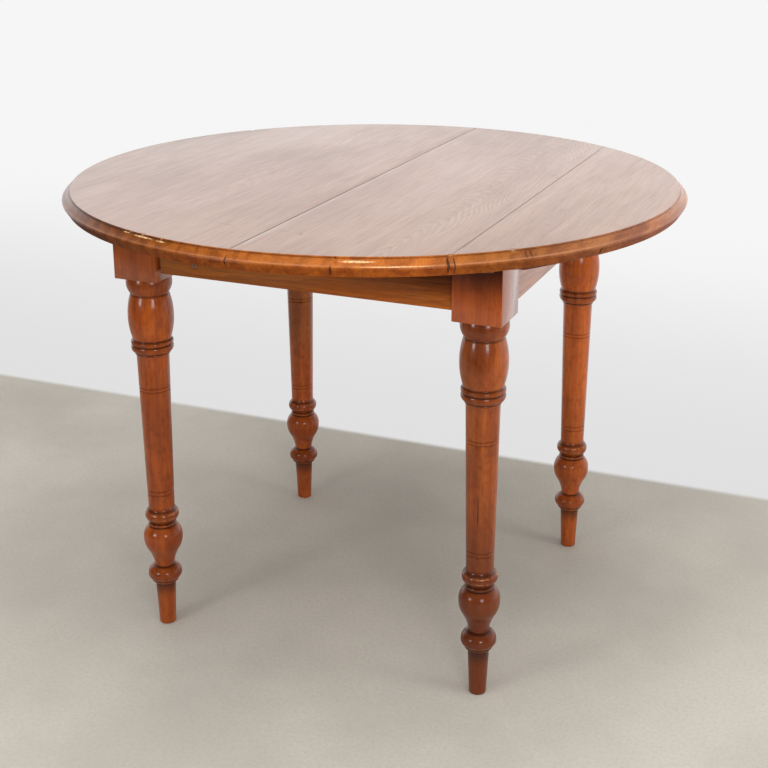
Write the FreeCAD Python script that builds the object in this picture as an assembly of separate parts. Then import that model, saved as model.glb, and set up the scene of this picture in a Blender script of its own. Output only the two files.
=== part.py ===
import FreeCAD, Part
import math
import os
from FreeCAD import Vector

# Round extending dining table: a fixed four-legged base, a top split across the
# middle whose halves slide apart, and a butterfly leaf folded away in the well.
# Millimetres. X is the way the top opens, -Y the front, +Z up; the origin is on
# the floor under the middle of the table.

os.makedirs("parts", exist_ok=True)

# ---- Driving dimensions ----------------------------------------------------

# Top
TABLE_HEIGHT = 760.0
TOP_THICKNESS = 27.0
TOP_FACE_RADIUS = 502.0
NOSE_PROJECTION = 12.0
SEAM_GAP = 0.6
PLANK_JOINT_X = 287.0
PLANK_JOINT_GAP = 0.2
ARRIS = 0.5

# Base frame
LEG_X = 285.5
LEG_Y = 266.5
BLOCK = 77.0
BLOCK_BOTTOM = 627.5
APRON_BOTTOM = 643.0
APRON_THICKNESS = 22.0
APRON_RECESS = 6.0
TENON_LENGTH = 28.0
TENON_THICKNESS = 10.0
TENON_SHOULDER = 10.0
TENON_UNDER_NOTCH = 5.0
TOP_CLEARANCE = 0.4
BLOCK_ARRIS = 1.0
BRACE_THICKNESS = 22.0
BRACE_BOTTOM = 650.0
BRACE_TOP = 684.0
BRACE_SCREW_LENGTH = 44.0
BRACE_END_SCREW = 30.0
BRACE_END_INSET = 17.0
PLUG_X = -181.0
PLUG_Z = 662.0
PLUG_RADIUS = 4.5
PLUG_DEPTH = 6.0

# Tapered shaft of a leg; the mouldings above and below it are in leg_turning
SHAFT_TOP = 494.5
SHAFT_BOTTOM = 219.0
SHAFT_TOP_RADIUS = 26.4
SHAFT_BOTTOM_RADIUS = 21.6
SHAFT_LINES = [439.0, 433.0, 253.5, 246.0]
LINE_HALF = 1.1
LINE_DEPTH = 0.9

# Sliding runners
SLIDE_TRAVEL = 265.0
RAIL_CENTRE_Y = 191.0
RAIL_WIDTH = 22.0
RUNNER_WIDTH = 21.5
RUNNER_DEPTH = 40.0
RUNNER_OUTER_END = 410.0
RUNNER_INNER_END = 285.0
RUNNER_BEVEL_START = 330.0
RUNNER_BEVEL_RISE = 24.0
LANE_PLAY = 0.3
NOTCH_PLAY = 0.5
TONGUE_DEPTH = 5.5
TONGUE_ROOT = 9.0
TONGUE_TIP = 13.0
TONGUE_PLAY = 0.27
STOP_PEG_DIAMETER = 9.0
STOP_PEG_DROP = 8.0
STOP_PEG_LENGTH = 30.0
STOP_MARGIN = 0.3
RUNNER_SCREWS_X = [45.0, 165.0, 272.0]
RUNNER_SCREW_SINK = 14.0
RUNNER_WELL_PLAY = 0.4

# Cleats under the overhang
CLEAT_CENTRE_Y = 350.0
CLEAT_WIDTH = 44.0
CLEAT_THICKNESS = 16.0
CLEAT_INNER_END = 22.0
CLEAT_OUTER_END = 330.0
CLEAT_BEVEL_START = 213.0
CLEAT_THIN_END = 5.0
CLEAT_SCREWS_X = [60.0, 170.0, 300.0]
CLEAT_SCREW_SINK = 2.5

# Folded leaf and what carries it
LEAF_WIDTH = 284.0
LEAF_FACE_GAP = 0.3
BEARER_X = 105.0
BEARER_WIDTH = 40.0
BEARER_BOTTOM = 645.0
BEARER_THICKNESS = 10.0
BEARER_HOUSING = 8.0
FENCE_HEIGHT = 12.0
FENCE_WIDTH = 17.0
FENCE_PLAY = 1.0
HINGE_Y = 80.0
HINGE_LENGTH = 50.0
HINGE_PLATE = 1.6
HINGE_REACH = 20.0
KNUCKLE_RADIUS = 3.4
KNUCKLE_GAP = 0.3
HINGE_PIN_RADIUS = 1.6
HINGE_BORE_PLAY = 0.05

# Dowels that line the edges up
DOWEL_Y_NEAR = 70.0
DOWEL_Y_FAR = 400.0
DOWEL_DIAMETER = 10.0
DOWEL_PROUD = 12.0
DOWEL_SEAT = 22.0
DOWEL_PLAY = 0.25
DOWEL_TIP = 2.5
DOWEL_TAPER = 1.6
SOCKET_EXTRA = 1.5

# Table locks under the seam
LOCK_Y = 425.0
LOCK_PLATE = 2.5
LOCK_WIDTH = 28.0
LOCK_PIVOT_X = -16.0
LOCK_POST_X = 18.0
LOCK_PLATE_END = 52.0
LOCK_KEEPER_END = 38.0
LOCK_EDGE = 4.0
LOCK_POST_RADIUS = 3.0
LOCK_PIVOT_RADIUS = 4.0
LOCK_BORE_PLAY = 0.06
LOCK_SLOT_PLAY = 1.2
LOCK_OPEN_ANGLE = 100.0
LEVER_THICKNESS = 4.0
LEVER_BOSS_RADIUS = 8.0
LEVER_FINGER = 3.6
LEVER_HANDLE = 26.0
LEVER_HANDLE_HALF = 4.5
LEVER_TAB = 3.0
LEVER_BOSS_HEIGHT = 7.6
LEVER_PLAY = 0.2
LEVER_BLADE_STEP = 0.8
POST_HEAD = 2.0
POST_HEAD_RIM = 2.2
KEEPER_SCREWS = [(26.0, -8.0), (26.0, 8.0)]
PLATE_SCREWS = [(-46.0, -8.0), (-46.0, 8.0), (-32.0, -8.0), (-32.0, 8.0)]
PLATE_SCREW_LENGTH = 13.0

# Screws
WOOD_SCREW_RADIUS = 2.0
WOOD_SCREW_HEAD = 4.0
SMALL_SCREW_RADIUS = 1.5
SMALL_SCREW_HEAD = 3.0
RUNNER_SCREW_BITE = 17.0
CLEAT_SCREW_BITE = 14.0

# ---- Derived levels and faces ----------------------------------------------

UNDERSIDE = TABLE_HEIGHT - TOP_THICKNESS
FRAME_TOP = UNDERSIDE - TOP_CLEARANCE
FRAME_X = LEG_X + BLOCK / 2
FRAME_Y = LEG_Y + BLOCK / 2
BLOCK_IN_X = LEG_X - BLOCK / 2
BLOCK_IN_Y = LEG_Y - BLOCK / 2
APRON_OUT_X = FRAME_X - APRON_RECESS
APRON_OUT_Y = FRAME_Y - APRON_RECESS
APRON_IN_X = APRON_OUT_X - APRON_THICKNESS
APRON_IN_Y = APRON_OUT_Y - APRON_THICKNESS
RUNNER_BOTTOM = UNDERSIDE - RUNNER_DEPTH
RAIL_IN_Y = RAIL_CENTRE_Y - RAIL_WIDTH / 2
RAIL_OUT_Y = RAIL_CENTRE_Y + RAIL_WIDTH / 2
TONGUE_Z = RUNNER_BOTTOM + RUNNER_DEPTH / 2
DOWEL_DEPTH = TOP_THICKNESS / 2
LEAF_HALF = TOP_FACE_RADIUS + NOSE_PROJECTION
LEAF_FOLD_X = LEAF_HALF / 2
LEAF_BOTTOM = BEARER_BOTTOM + BEARER_THICKNESS
LEAF_FOLD_Z = LEAF_BOTTOM + TOP_THICKNESS + LEAF_FACE_GAP / 2
BRACE_SCREW_Z = (BRACE_BOTTOM + BRACE_TOP) / 2
LEVER_TOP = UNDERSIDE - LOCK_PLATE - LEVER_PLAY
LEVER_BOTTOM = LEVER_TOP - LEVER_BOSS_HEIGHT
BLADE_BOTTOM = LEVER_BOTTOM + LEVER_BLADE_STEP
UP = Vector(0, 0, 1)


# ---- Helpers ---------------------------------------------------------------

def box(x0, x1, y0, y1, z0, z1):
    """Axis-aligned block between two corners, given in any order."""
    low = Vector(min(x0, x1), min(y0, y1), min(z0, z1))
    return Part.makeBox(abs(x1 - x0), abs(y1 - y0), abs(z1 - z0), low)


def cylinder(radius, start, end):
    """Round bar between two points."""
    along = end.sub(start)
    return Part.makeCylinder(radius, along.Length, start, along)


def outline(steps, as_spline=False):
    """Closed face in the XZ plane from a start point and line or arc steps.

    A step of two numbers is a line to (x, z); one of four is an arc through the
    first pair to the second, kept as a circle or turned into a spline."""
    here = Vector(steps[0][0], 0, steps[0][1])
    first = here
    edges = []
    for step in steps[1:]:
        there = Vector(step[-2], 0, step[-1])
        if len(step) == 2:
            edges.append(Part.LineSegment(here, there).toShape())
        else:
            through = Vector(step[0], 0, step[1])
            arc = Part.Arc(here, through, there)
            edges.append(arc.toBSpline().toShape() if as_spline else arc.toShape())
        here = there
    if here.distanceToPoint(first) > 1e-6:
        edges.append(Part.LineSegment(here, first).toShape())
    return Part.Face(Part.Wire(edges))


def prism(points, direction):
    """Solid made by pushing a closed polygon along a vector."""
    wire = Part.makePolygon(points + points[:1])
    return Part.Face(wire).extrude(direction)


def turned(steps, as_spline=False):
    """Solid turned about the Z axis from an outline of (radius, height)."""
    return outline(steps, as_spline).revolve(Vector(0, 0, 0), UP, 360)


def ring_sector(inner, outer, start, sweep, low, high):
    """Piece of a flat ring about Z, from one angle through a sweep in degrees."""
    face = outline([(inner, low), (outer, low), (outer, high), (inner, high)])
    sector = face.revolve(Vector(0, 0, 0), UP, sweep)
    sector.rotate(Vector(0, 0, 0), UP, start)
    return sector


def at(shape, x=0.0, y=0.0, z=0.0):
    """Copy of a shape moved by an offset."""
    moved = shape.copy()
    moved.translate(Vector(x, y, z))
    return moved


def mirror_x(shape):
    return shape.mirror(Vector(0, 0, 0), Vector(1, 0, 0))


def mirror_y(shape):
    return shape.mirror(Vector(0, 0, 0), Vector(0, 1, 0))


def cut_all(shape, tools):
    """Shape with every tool taken out of it."""
    for tool in tools:
        shape = shape.cut(tool)
    return shape


def screw(head_at, direction, length, radius=WOOD_SCREW_RADIUS, head=WOOD_SCREW_HEAD):
    """Countersunk screw: its flat head is at head_at and it points along direction."""
    way = Vector(direction)
    way.normalize()
    sink = head - radius
    tip = head_at.add(way * (length - radius))
    cone = Part.makeCone(head, radius, sink, head_at, way)
    shank = cylinder(radius, head_at.add(way * sink), tip)
    point = Part.makeCone(radius, radius / 4, radius, tip, way)
    return cone.fuse([shank, point]).removeSplitter()


def export(name, shapes):
    """Write one named sub-part; a list of solids stays a group of separate solids."""
    shape = Part.makeCompound(shapes) if isinstance(shapes, list) else shapes
    shape.exportStep("parts/" + name + ".step")


# ---- Legs ------------------------------------------------------------------

def shaft_radius(z):
    """Radius of the tapered shaft at a height."""
    part = (z - SHAFT_BOTTOM) / (SHAFT_TOP - SHAFT_BOTTOM)
    return SHAFT_BOTTOM_RADIUS + part * (SHAFT_TOP_RADIUS - SHAFT_BOTTOM_RADIUS)


def incised_lines():
    """Shaft outline from top to bottom with its pairs of V grooves."""
    steps = [(SHAFT_TOP_RADIUS, SHAFT_TOP)]
    for z in SHAFT_LINES:
        steps.append((shaft_radius(z + LINE_HALF), z + LINE_HALF))
        steps.append((shaft_radius(z) - LINE_DEPTH, z))
        steps.append((shaft_radius(z - LINE_HALF), z - LINE_HALF))
    steps.append((SHAFT_BOTTOM_RADIUS, SHAFT_BOTTOM))
    return steps


def leg_turning():
    """The turned part of a leg, from under the square block down to the floor."""
    collar = [(35.2, BLOCK_BOTTOM), (36.9, 616.0, 31.4, 600.5), (31.4, 598.0)]
    barrel = [(36.9, 566.0, 31.2, 523.0)]
    double_ring = [(34.3, 518.0, 32.6, 512.6), (34.2, 506.5, 29.4, 499.5), (28.2, 499.5)]
    ring_foot = [(28.6, 497.6, 26.9, 495.8)]
    flange = [(23.4, 216.5), (26.2, 213.2), (28.2, 206.0, 25.6, 199.0), (21.2, 193.4)]
    neck_bead = [(23.4, 190.6, 22.6, 187.6)]
    bulb = [(30.4, 177.5, 32.7, 165.0), (31.6, 154.6, 27.2, 143.5), (19.9, 128.5, 16.3, 112.5)]
    ankle_ring = [(24.6, 106.5, 28.3, 96.5), (27.2, 90.8, 23.6, 87.2), (22.6, 86.4)]
    ring_lip = [(22.8, 83.6, 20.4, 81.2), (17.2, 80.2)]
    foot = [(13.6, 2.0), (13.01, 0.59, 11.6, 0.0), (0.0, 0.0)]
    top = [(0.0, BLOCK_BOTTOM)]
    upper = top + collar + barrel + double_ring + ring_foot
    lower = flange + neck_bead + bulb + ankle_ring + ring_lip + foot
    return turned(upper + incised_lines() + lower)


def leg_block():
    """Square block at the head of a leg, its upright arrises just eased."""
    half = BLOCK / 2
    block = box(-half, half, -half, half, BLOCK_BOTTOM, FRAME_TOP)
    upright = [e for e in block.Edges if abs(e.tangentAt(e.FirstParameter).z) > 0.9]
    return block.makeChamfer(BLOCK_ARRIS, upright)


# ---- Aprons ----------------------------------------------------------------

def long_apron(side):
    """Front (-1) or back (+1) apron with a tenon at each end."""
    y_out = side * APRON_OUT_Y
    y_in = side * APRON_IN_Y
    y_mid = (y_out + y_in) / 2
    reach = BLOCK_IN_X + TENON_LENGTH
    half = TENON_THICKNESS / 2
    body = box(-BLOCK_IN_X, BLOCK_IN_X, y_out, y_in, APRON_BOTTOM, FRAME_TOP)
    low = APRON_BOTTOM + TENON_SHOULDER
    tenons = box(-reach, reach, y_mid - half, y_mid + half, low, FRAME_TOP - TENON_SHOULDER)
    return body.fuse(tenons).removeSplitter()


def end_apron(side):
    """Left (-1) or right (+1) apron, notched for the rails and its own half's runners."""
    x_out = side * APRON_OUT_X
    x_in = side * APRON_IN_X
    x_mid = (x_out + x_in) / 2
    reach = BLOCK_IN_Y + TENON_LENGTH
    half = TENON_THICKNESS / 2
    body = box(x_out, x_in, -BLOCK_IN_Y, BLOCK_IN_Y, APRON_BOTTOM, FRAME_TOP)
    low = APRON_BOTTOM + TENON_SHOULDER
    tenons = box(x_mid - half, x_mid + half, -reach, reach, low,
                 RUNNER_BOTTOM - TENON_UNDER_NOTCH)
    apron = body.fuse(tenons).removeSplitter()
    lane_in, lane_out = runner_lane(side)
    lane_low = min(lane_in, lane_out) - NOTCH_PLAY
    lane_high = max(lane_in, lane_out) + NOTCH_PLAY
    for way in (-1, 1):
        rail = box(x_out, x_in, way * RAIL_IN_Y, way * RAIL_OUT_Y, RUNNER_BOTTOM, FRAME_TOP)
        lane = box(x_out, x_in, way * lane_low, way * lane_high,
                   RUNNER_BOTTOM - NOTCH_PLAY, FRAME_TOP)
        apron = apron.cut(rail).cut(lane)
    return apron


# ---- Rails and runners -----------------------------------------------------

def runner_lane(side):
    """Distances from the middle of the face next to the rail and the far face."""
    if side < 0:
        near = RAIL_IN_Y - LANE_PLAY
        return near, near - RUNNER_WIDTH
    near = RAIL_OUT_Y + LANE_PLAY
    return near, near + RUNNER_WIDTH


def dovetail(x0, x1, y_root, y_tip, root, tip):
    """Dovetail bar along X, from its root face to its wider tip face."""
    corners = [(y_root, -root), (y_tip, -tip), (y_tip, tip), (y_root, root)]
    points = [Vector(x0, y, TONGUE_Z + z) for y, z in corners]
    return prism(points, Vector(x1 - x0, 0, 0))


def rail():
    """Fixed rail at +Y, housed through both end aprons and grooved on both faces."""
    bar = box(-APRON_OUT_X, APRON_OUT_X, RAIL_IN_Y, RAIL_OUT_Y, RUNNER_BOTTOM, FRAME_TOP)
    slope = (TONGUE_TIP - TONGUE_ROOT) / 2 / TONGUE_DEPTH
    root = TONGUE_ROOT / 2 + slope * LANE_PLAY + TONGUE_PLAY
    tip = root + slope * TONGUE_DEPTH
    for face, way in ((RAIL_IN_Y, 1), (RAIL_OUT_Y, -1)):
        groove = dovetail(-APRON_OUT_X, APRON_OUT_X, face, face + way * TONGUE_DEPTH, root, tip)
        bar = bar.cut(groove)
    return bar


def runner(side):
    """Moving runner of one half at +Y, with the tongue that rides in the rail."""
    near, far = runner_lane(side)
    towards_rail = 1 if near > far else -1
    outer = side * RUNNER_OUTER_END
    bevel = side * RUNNER_BEVEL_START
    inner = -side * RUNNER_INNER_END
    section = [
        Vector(inner, near, RUNNER_BOTTOM),
        Vector(bevel, near, RUNNER_BOTTOM),
        Vector(outer, near, RUNNER_BOTTOM + RUNNER_BEVEL_RISE),
        Vector(outer, near, UNDERSIDE),
        Vector(side * SEAM_GAP / 2, near, UNDERSIDE),
        Vector(side * SEAM_GAP / 2, near, FRAME_TOP),
        Vector(inner, near, FRAME_TOP),
    ]
    bar = prism(section, Vector(0, far - near, 0))
    tongue = dovetail(inner, side * (FRAME_X - 1), near,
                      near + towards_rail * TONGUE_DEPTH, TONGUE_ROOT / 2, TONGUE_TIP / 2)
    return bar.fuse(tongue).removeSplitter()


def stop_peg(side):
    """Peg under a runner at +Y that meets the end apron when the half is fully out."""
    near, far = runner_lane(side)
    x = side * (APRON_IN_X - STOP_PEG_DIAMETER / 2 - SLIDE_TRAVEL - STOP_MARGIN)
    foot = Vector(x, (near + far) / 2, RUNNER_BOTTOM - STOP_PEG_DROP)
    return cylinder(STOP_PEG_DIAMETER / 2, foot, foot.add(UP * STOP_PEG_LENGTH))


def runner_screws(side):
    """Screws up through one runner at +Y into the top."""
    near, far = runner_lane(side)
    level = RUNNER_BOTTOM + RUNNER_SCREW_SINK
    length = UNDERSIDE - level + RUNNER_SCREW_BITE
    y = (near + far) / 2
    return [screw(Vector(side * x, y, level), UP, length) for x in RUNNER_SCREWS_X]


def screw_wells(side):
    """Sunk holes below the runner screws at +Y."""
    near, far = runner_lane(side)
    y = (near + far) / 2
    radius = WOOD_SCREW_HEAD + RUNNER_WELL_PLAY
    level = RUNNER_BOTTOM + RUNNER_SCREW_SINK
    return [cylinder(radius, Vector(side * x, y, RUNNER_BOTTOM - 1), Vector(side * x, y, level))
            for x in RUNNER_SCREWS_X]


# ---- Cleats ----------------------------------------------------------------

def cleat_underside(x):
    """Height of a cleat's underside: flat, then rising to a thin outer end."""
    if x <= CLEAT_BEVEL_START:
        return UNDERSIDE - CLEAT_THICKNESS
    part = (x - CLEAT_BEVEL_START) / (CLEAT_OUTER_END - CLEAT_BEVEL_START)
    return UNDERSIDE - CLEAT_THICKNESS + part * (CLEAT_THICKNESS - CLEAT_THIN_END)


def cleat(side):
    """Cross-grain cleat at +Y under the overhang of one half."""
    y = CLEAT_CENTRE_Y - CLEAT_WIDTH / 2
    corners = [
        (CLEAT_INNER_END, UNDERSIDE),
        (CLEAT_INNER_END, UNDERSIDE - CLEAT_THIN_END),
        (CLEAT_INNER_END + CLEAT_THICKNESS, UNDERSIDE - CLEAT_THICKNESS),
        (CLEAT_BEVEL_START, UNDERSIDE - CLEAT_THICKNESS),
        (CLEAT_OUTER_END, cleat_underside(CLEAT_OUTER_END)),
        (CLEAT_OUTER_END, UNDERSIDE),
    ]
    points = [Vector(side * x, y, z) for x, z in corners]
    return prism(points, Vector(0, CLEAT_WIDTH, 0))


def cleat_screws(side):
    """Screws up through one cleat at +Y, their heads just below its surface."""
    made = []
    for x in CLEAT_SCREWS_X:
        level = cleat_underside(x) + CLEAT_SCREW_SINK
        made.append(screw(Vector(side * x, CLEAT_CENTRE_Y, level), UP,
                          UNDERSIDE - level + CLEAT_SCREW_BITE))
    return made


def cleat_wells(side):
    """Mouths of the cleat screws' holes at +Y."""
    made = []
    for x in CLEAT_SCREWS_X:
        foot = Vector(side * x, CLEAT_CENTRE_Y, UNDERSIDE - CLEAT_THICKNESS - 1)
        head = Vector(side * x, CLEAT_CENTRE_Y, cleat_underside(x) + CLEAT_SCREW_SINK)
        made.append(cylinder(WOOD_SCREW_HEAD, foot, head))
    return made


# ---- Tops ------------------------------------------------------------------

def rim_section():
    """Half section of the top: flat face, fillet, hollow band, nose and undercut."""
    r = TOP_FACE_RADIUS
    nose = r + NOSE_PROJECTION
    z = TABLE_HEIGHT
    return [
        (0.0, UNDERSIDE),
        (0.0, z),
        (r - 0.8, z),
        (r - 0.2, z - 0.2, r, z - 0.8),
        (r, z - 2.6),
        (r + 1.1, z - 3.0),
        (r + 5.6, z - 7.9, nose - 1.5, z - 11.2),
        (nose, z - 14.0, nose - 1.3, z - 16.8),
        (r + 4.4, UNDERSIDE),
    ]


def dowel(root, way):
    """Dowel seated at root and standing proud along way, with a tapered tip."""
    back = root.sub(way * DOWEL_SEAT)
    shoulder = root.add(way * (DOWEL_PROUD - DOWEL_TIP))
    radius = DOWEL_DIAMETER / 2
    shank = cylinder(radius, back, shoulder)
    tip = Part.makeCone(radius, radius - DOWEL_TAPER, DOWEL_TIP, shoulder, way)
    return shank.fuse(tip).removeSplitter()


def socket(root, way):
    """Hole that takes a dowel's proud end."""
    radius = DOWEL_DIAMETER / 2 + DOWEL_PLAY
    return cylinder(radius, root.sub(way * 1.0), root.add(way * (DOWEL_PROUD + SOCKET_EXTRA)))


def seam_points():
    """Middles of the seam dowels, on the plane of the seam."""
    z = TABLE_HEIGHT - DOWEL_DEPTH
    distances = (-DOWEL_Y_FAR, -DOWEL_Y_NEAR, DOWEL_Y_NEAR, DOWEL_Y_FAR)
    return [Vector(0, y, z) for y in distances]


def slab(x0, x1):
    """Slice of the round top between two X planes, its long arrises eased."""
    limit = TOP_FACE_RADIUS + NOSE_PROJECTION + 10
    disc = turned(rim_section(), as_spline=True)
    disc.rotate(Vector(0, 0, 0), UP, 90)
    piece = disc.common(box(x0, x1, -limit, limit, UNDERSIDE - 1, TABLE_HEIGHT + 1))
    for x, way in ((x0, 1), (x1, -1)):
        if abs(x) < TOP_FACE_RADIUS:
            corner = [Vector(x, -limit, TABLE_HEIGHT + 1), Vector(x, -limit, TABLE_HEIGHT - ARRIS),
                      Vector(x + way * (ARRIS + 1), -limit, TABLE_HEIGHT + 1)]
            piece = piece.cut(prism(corner, Vector(0, 2 * limit, 0)))
    return piece


# ---- Table locks -----------------------------------------------------------

def lock_post(x, radius, low, high):
    """Upright post of a lock at +Y, between two levels."""
    return cylinder(radius, Vector(x, LOCK_Y, low), Vector(x, LOCK_Y, high))


def lock_screws(places):
    """Small screws through a lock plate at +Y into the top."""
    level = UNDERSIDE - LOCK_PLATE
    return [screw(Vector(x, LOCK_Y + y, level), UP, PLATE_SCREW_LENGTH,
                  SMALL_SCREW_RADIUS, SMALL_SCREW_HEAD) for x, y in places]


def lock_plate():
    """Pivot plate of a lock at +Y, on the left half, with a headed post."""
    half = LOCK_WIDTH / 2
    plate = box(-LOCK_PLATE_END, -LOCK_EDGE, LOCK_Y - half, LOCK_Y + half,
                UNDERSIDE - LOCK_PLATE, UNDERSIDE)
    neck = LEVER_BOTTOM - LEVER_PLAY
    post = lock_post(LOCK_PIVOT_X, LOCK_PIVOT_RADIUS, neck, UNDERSIDE - LOCK_PLATE)
    head = lock_post(LOCK_PIVOT_X, LOCK_PIVOT_RADIUS + POST_HEAD_RIM, neck - POST_HEAD, neck)
    plate = plate.fuse([post, head]).removeSplitter()
    return cut_all(plate, lock_screws(PLATE_SCREWS))


def lock_keeper():
    """Keeper plate of a lock at +Y, on the right half, and the post riveted through it."""
    half = LOCK_WIDTH / 2
    plate = box(LOCK_EDGE, LOCK_KEEPER_END, LOCK_Y - half, LOCK_Y + half,
                UNDERSIDE - LOCK_PLATE, UNDERSIDE)
    post = lock_post(LOCK_POST_X, LOCK_POST_RADIUS, LEVER_BOTTOM, UNDERSIDE)
    return [cut_all(plate, [post] + lock_screws(KEEPER_SCREWS)), post]


def lock_lever():
    """Hooked lever of a lock at +Y, swung back from its keeper."""
    reach = LOCK_POST_X - LOCK_PIVOT_X
    slot = LOCK_POST_RADIUS + LOCK_SLOT_PLAY
    high = BLADE_BOTTOM + LEVER_THICKNESS
    blade = ring_sector(LOCK_PIVOT_RADIUS, reach + slot + LEVER_FINGER, -12, 24, BLADE_BOTTOM, high)
    boss = cylinder(LEVER_BOSS_RADIUS, UP * LEVER_BOTTOM, UP * LEVER_TOP)
    wide = LEVER_HANDLE_HALF
    handle = box(-LEVER_HANDLE, 0, -wide, wide, BLADE_BOTTOM, high)
    tab = box(-LEVER_HANDLE, LEVER_TAB - LEVER_HANDLE, -wide, wide, BLADE_BOTTOM - LEVER_TAB, high)
    lever = blade.fuse([boss, handle, tab])
    entry = ring_sector(reach - slot, reach + slot, 0, 20, BLADE_BOTTOM - 1, high + 1)
    seat = cylinder(slot, Vector(reach, 0, BLADE_BOTTOM - 1), Vector(reach, 0, high + 1))
    bore = cylinder(LOCK_PIVOT_RADIUS + LOCK_BORE_PLAY, UP * (LEVER_BOTTOM - 1), UP * (LEVER_TOP + 1))
    lever = cut_all(lever, [entry, seat, bore])
    lever.rotate(Vector(0, 0, 0), UP, -LOCK_OPEN_ANGLE)
    return at(lever, LOCK_PIVOT_X, LOCK_Y, 0)


# ---- Folded butterfly leaf -------------------------------------------------

def leaf_board(face_up):
    """One leaf half lying in the well, with its show face up or down."""
    section = [(x, z - TABLE_HEIGHT) if len(rest) == 0 else (x, z - TABLE_HEIGHT, rest[0],
               rest[1] - TABLE_HEIGHT) for x, z, *rest in rim_section()]
    board = outline(section).extrude(Vector(0, LEAF_WIDTH, 0))
    board.translate(Vector(0, -LEAF_WIDTH / 2, 0))
    board.rotate(Vector(0, 0, 0), UP, 180)
    board.translate(Vector(0, 0, -LEAF_FACE_GAP / 2))
    if not face_up:
        board = board.mirror(Vector(0, 0, 0), UP)
    return at(board, LEAF_FOLD_X, 0, LEAF_FOLD_Z)


def leaf_points(side_z, y):
    """Middles of a stored leaf half's dowels or sockets on the edge at y."""
    z = LEAF_FOLD_Z + side_z * (LEAF_FACE_GAP / 2 + DOWEL_DEPTH)
    return [Vector(LEAF_FOLD_X - d, y, z) for d in (DOWEL_Y_NEAR, DOWEL_Y_FAR)]


def hinge_bar(y, inner, outer):
    """Round bar on the fold line between two distances along a hinge at y."""
    start = Vector(LEAF_FOLD_X, y + inner, LEAF_FOLD_Z)
    end = Vector(LEAF_FOLD_X, y + outer, LEAF_FOLD_Z)
    return start, end


def hinge_knuckles(part):
    """Stretches of one hinge's barrel: two outer for the lower flap, one inner."""
    half = HINGE_LENGTH / 2
    inner = half / 3
    if part == "lower":
        return [(-half, -inner), (inner, half)]
    return [(-inner + KNUCKLE_GAP, inner - KNUCKLE_GAP)]


def hinge_flap(y, part):
    """Flap and knuckles of one leaf hinge at y."""
    way = -1 if part == "lower" else 1
    other = "upper" if part == "lower" else "lower"
    half = HINGE_LENGTH / 2
    flap = box(LEAF_FOLD_X - HINGE_PLATE, LEAF_FOLD_X, y - half, y + half,
               LEAF_FOLD_Z, LEAF_FOLD_Z + way * HINGE_REACH)
    for inner, outer in hinge_knuckles(other):
        start, end = hinge_bar(y, inner - KNUCKLE_GAP, outer + KNUCKLE_GAP)
        flap = flap.cut(cylinder(KNUCKLE_RADIUS + KNUCKLE_GAP, start, end))
    for inner, outer in hinge_knuckles(part):
        start, end = hinge_bar(y, inner, outer)
        flap = flap.fuse(cylinder(KNUCKLE_RADIUS, start, end))
    start, end = hinge_bar(y, -half - 1, half + 1)
    play = HINGE_BORE_PLAY if part == "upper" else 0.0
    return flap.cut(cylinder(HINGE_PIN_RADIUS + play, start, end)).removeSplitter()


def hinge_recess(y, part):
    """Wood taken out of a leaf half for one hinge."""
    way = -1 if part == "lower" else 1
    half = HINGE_LENGTH / 2
    flap = box(LEAF_FOLD_X - HINGE_PLATE, LEAF_FOLD_X + 1, y - half, y + half,
               LEAF_FOLD_Z, LEAF_FOLD_Z + way * HINGE_REACH)
    start, end = hinge_bar(y, -half - KNUCKLE_GAP, half + KNUCKLE_GAP)
    return flap.fuse(cylinder(KNUCKLE_RADIUS + KNUCKLE_GAP, start, end))


def hinge_screws(y, part):
    """Screws through one flap into the end of its board."""
    way = -1 if part == "lower" else 1
    z = LEAF_FOLD_Z + way * (HINGE_REACH - 7)
    return [screw(Vector(LEAF_FOLD_X, y + off, z), Vector(-1, 0, 0), PLATE_SCREW_LENGTH,
                  SMALL_SCREW_RADIUS, SMALL_SCREW_HEAD) for off in (-16.0, 16.0)]


def leaf_bearer(x):
    """Cross bar that carries the folded leaf, with a fence at each side of it."""
    half = BEARER_WIDTH / 2
    reach = APRON_IN_Y + BEARER_HOUSING
    fence_in = LEAF_WIDTH / 2 + FENCE_PLAY
    fence_out = fence_in + FENCE_WIDTH
    shelf = BEARER_BOTTOM + BEARER_THICKNESS
    bar = box(x - half, x + half, -reach, reach, BEARER_BOTTOM, shelf)
    for way in (-1, 1):
        bar = bar.fuse(box(x - half, x + half, way * fence_in, way * fence_out,
                           BEARER_BOTTOM, shelf + FENCE_HEIGHT))
    return bar.removeSplitter()


# ---- Corner braces ---------------------------------------------------------

def brace():
    """Diagonal brace across the inside corner at +X +Y, against the leg block."""
    outer = BLOCK_IN_X + BLOCK_IN_Y
    inner = outer - BRACE_THICKNESS * math.sqrt(2)
    points = [
        Vector(APRON_IN_X, outer - APRON_IN_X, BRACE_BOTTOM),
        Vector(outer - APRON_IN_Y, APRON_IN_Y, BRACE_BOTTOM),
        Vector(inner - APRON_IN_Y, APRON_IN_Y, BRACE_BOTTOM),
        Vector(APRON_IN_X, inner - APRON_IN_X, BRACE_BOTTOM),
    ]
    return prism(points, Vector(0, 0, BRACE_TOP - BRACE_BOTTOM))


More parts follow.
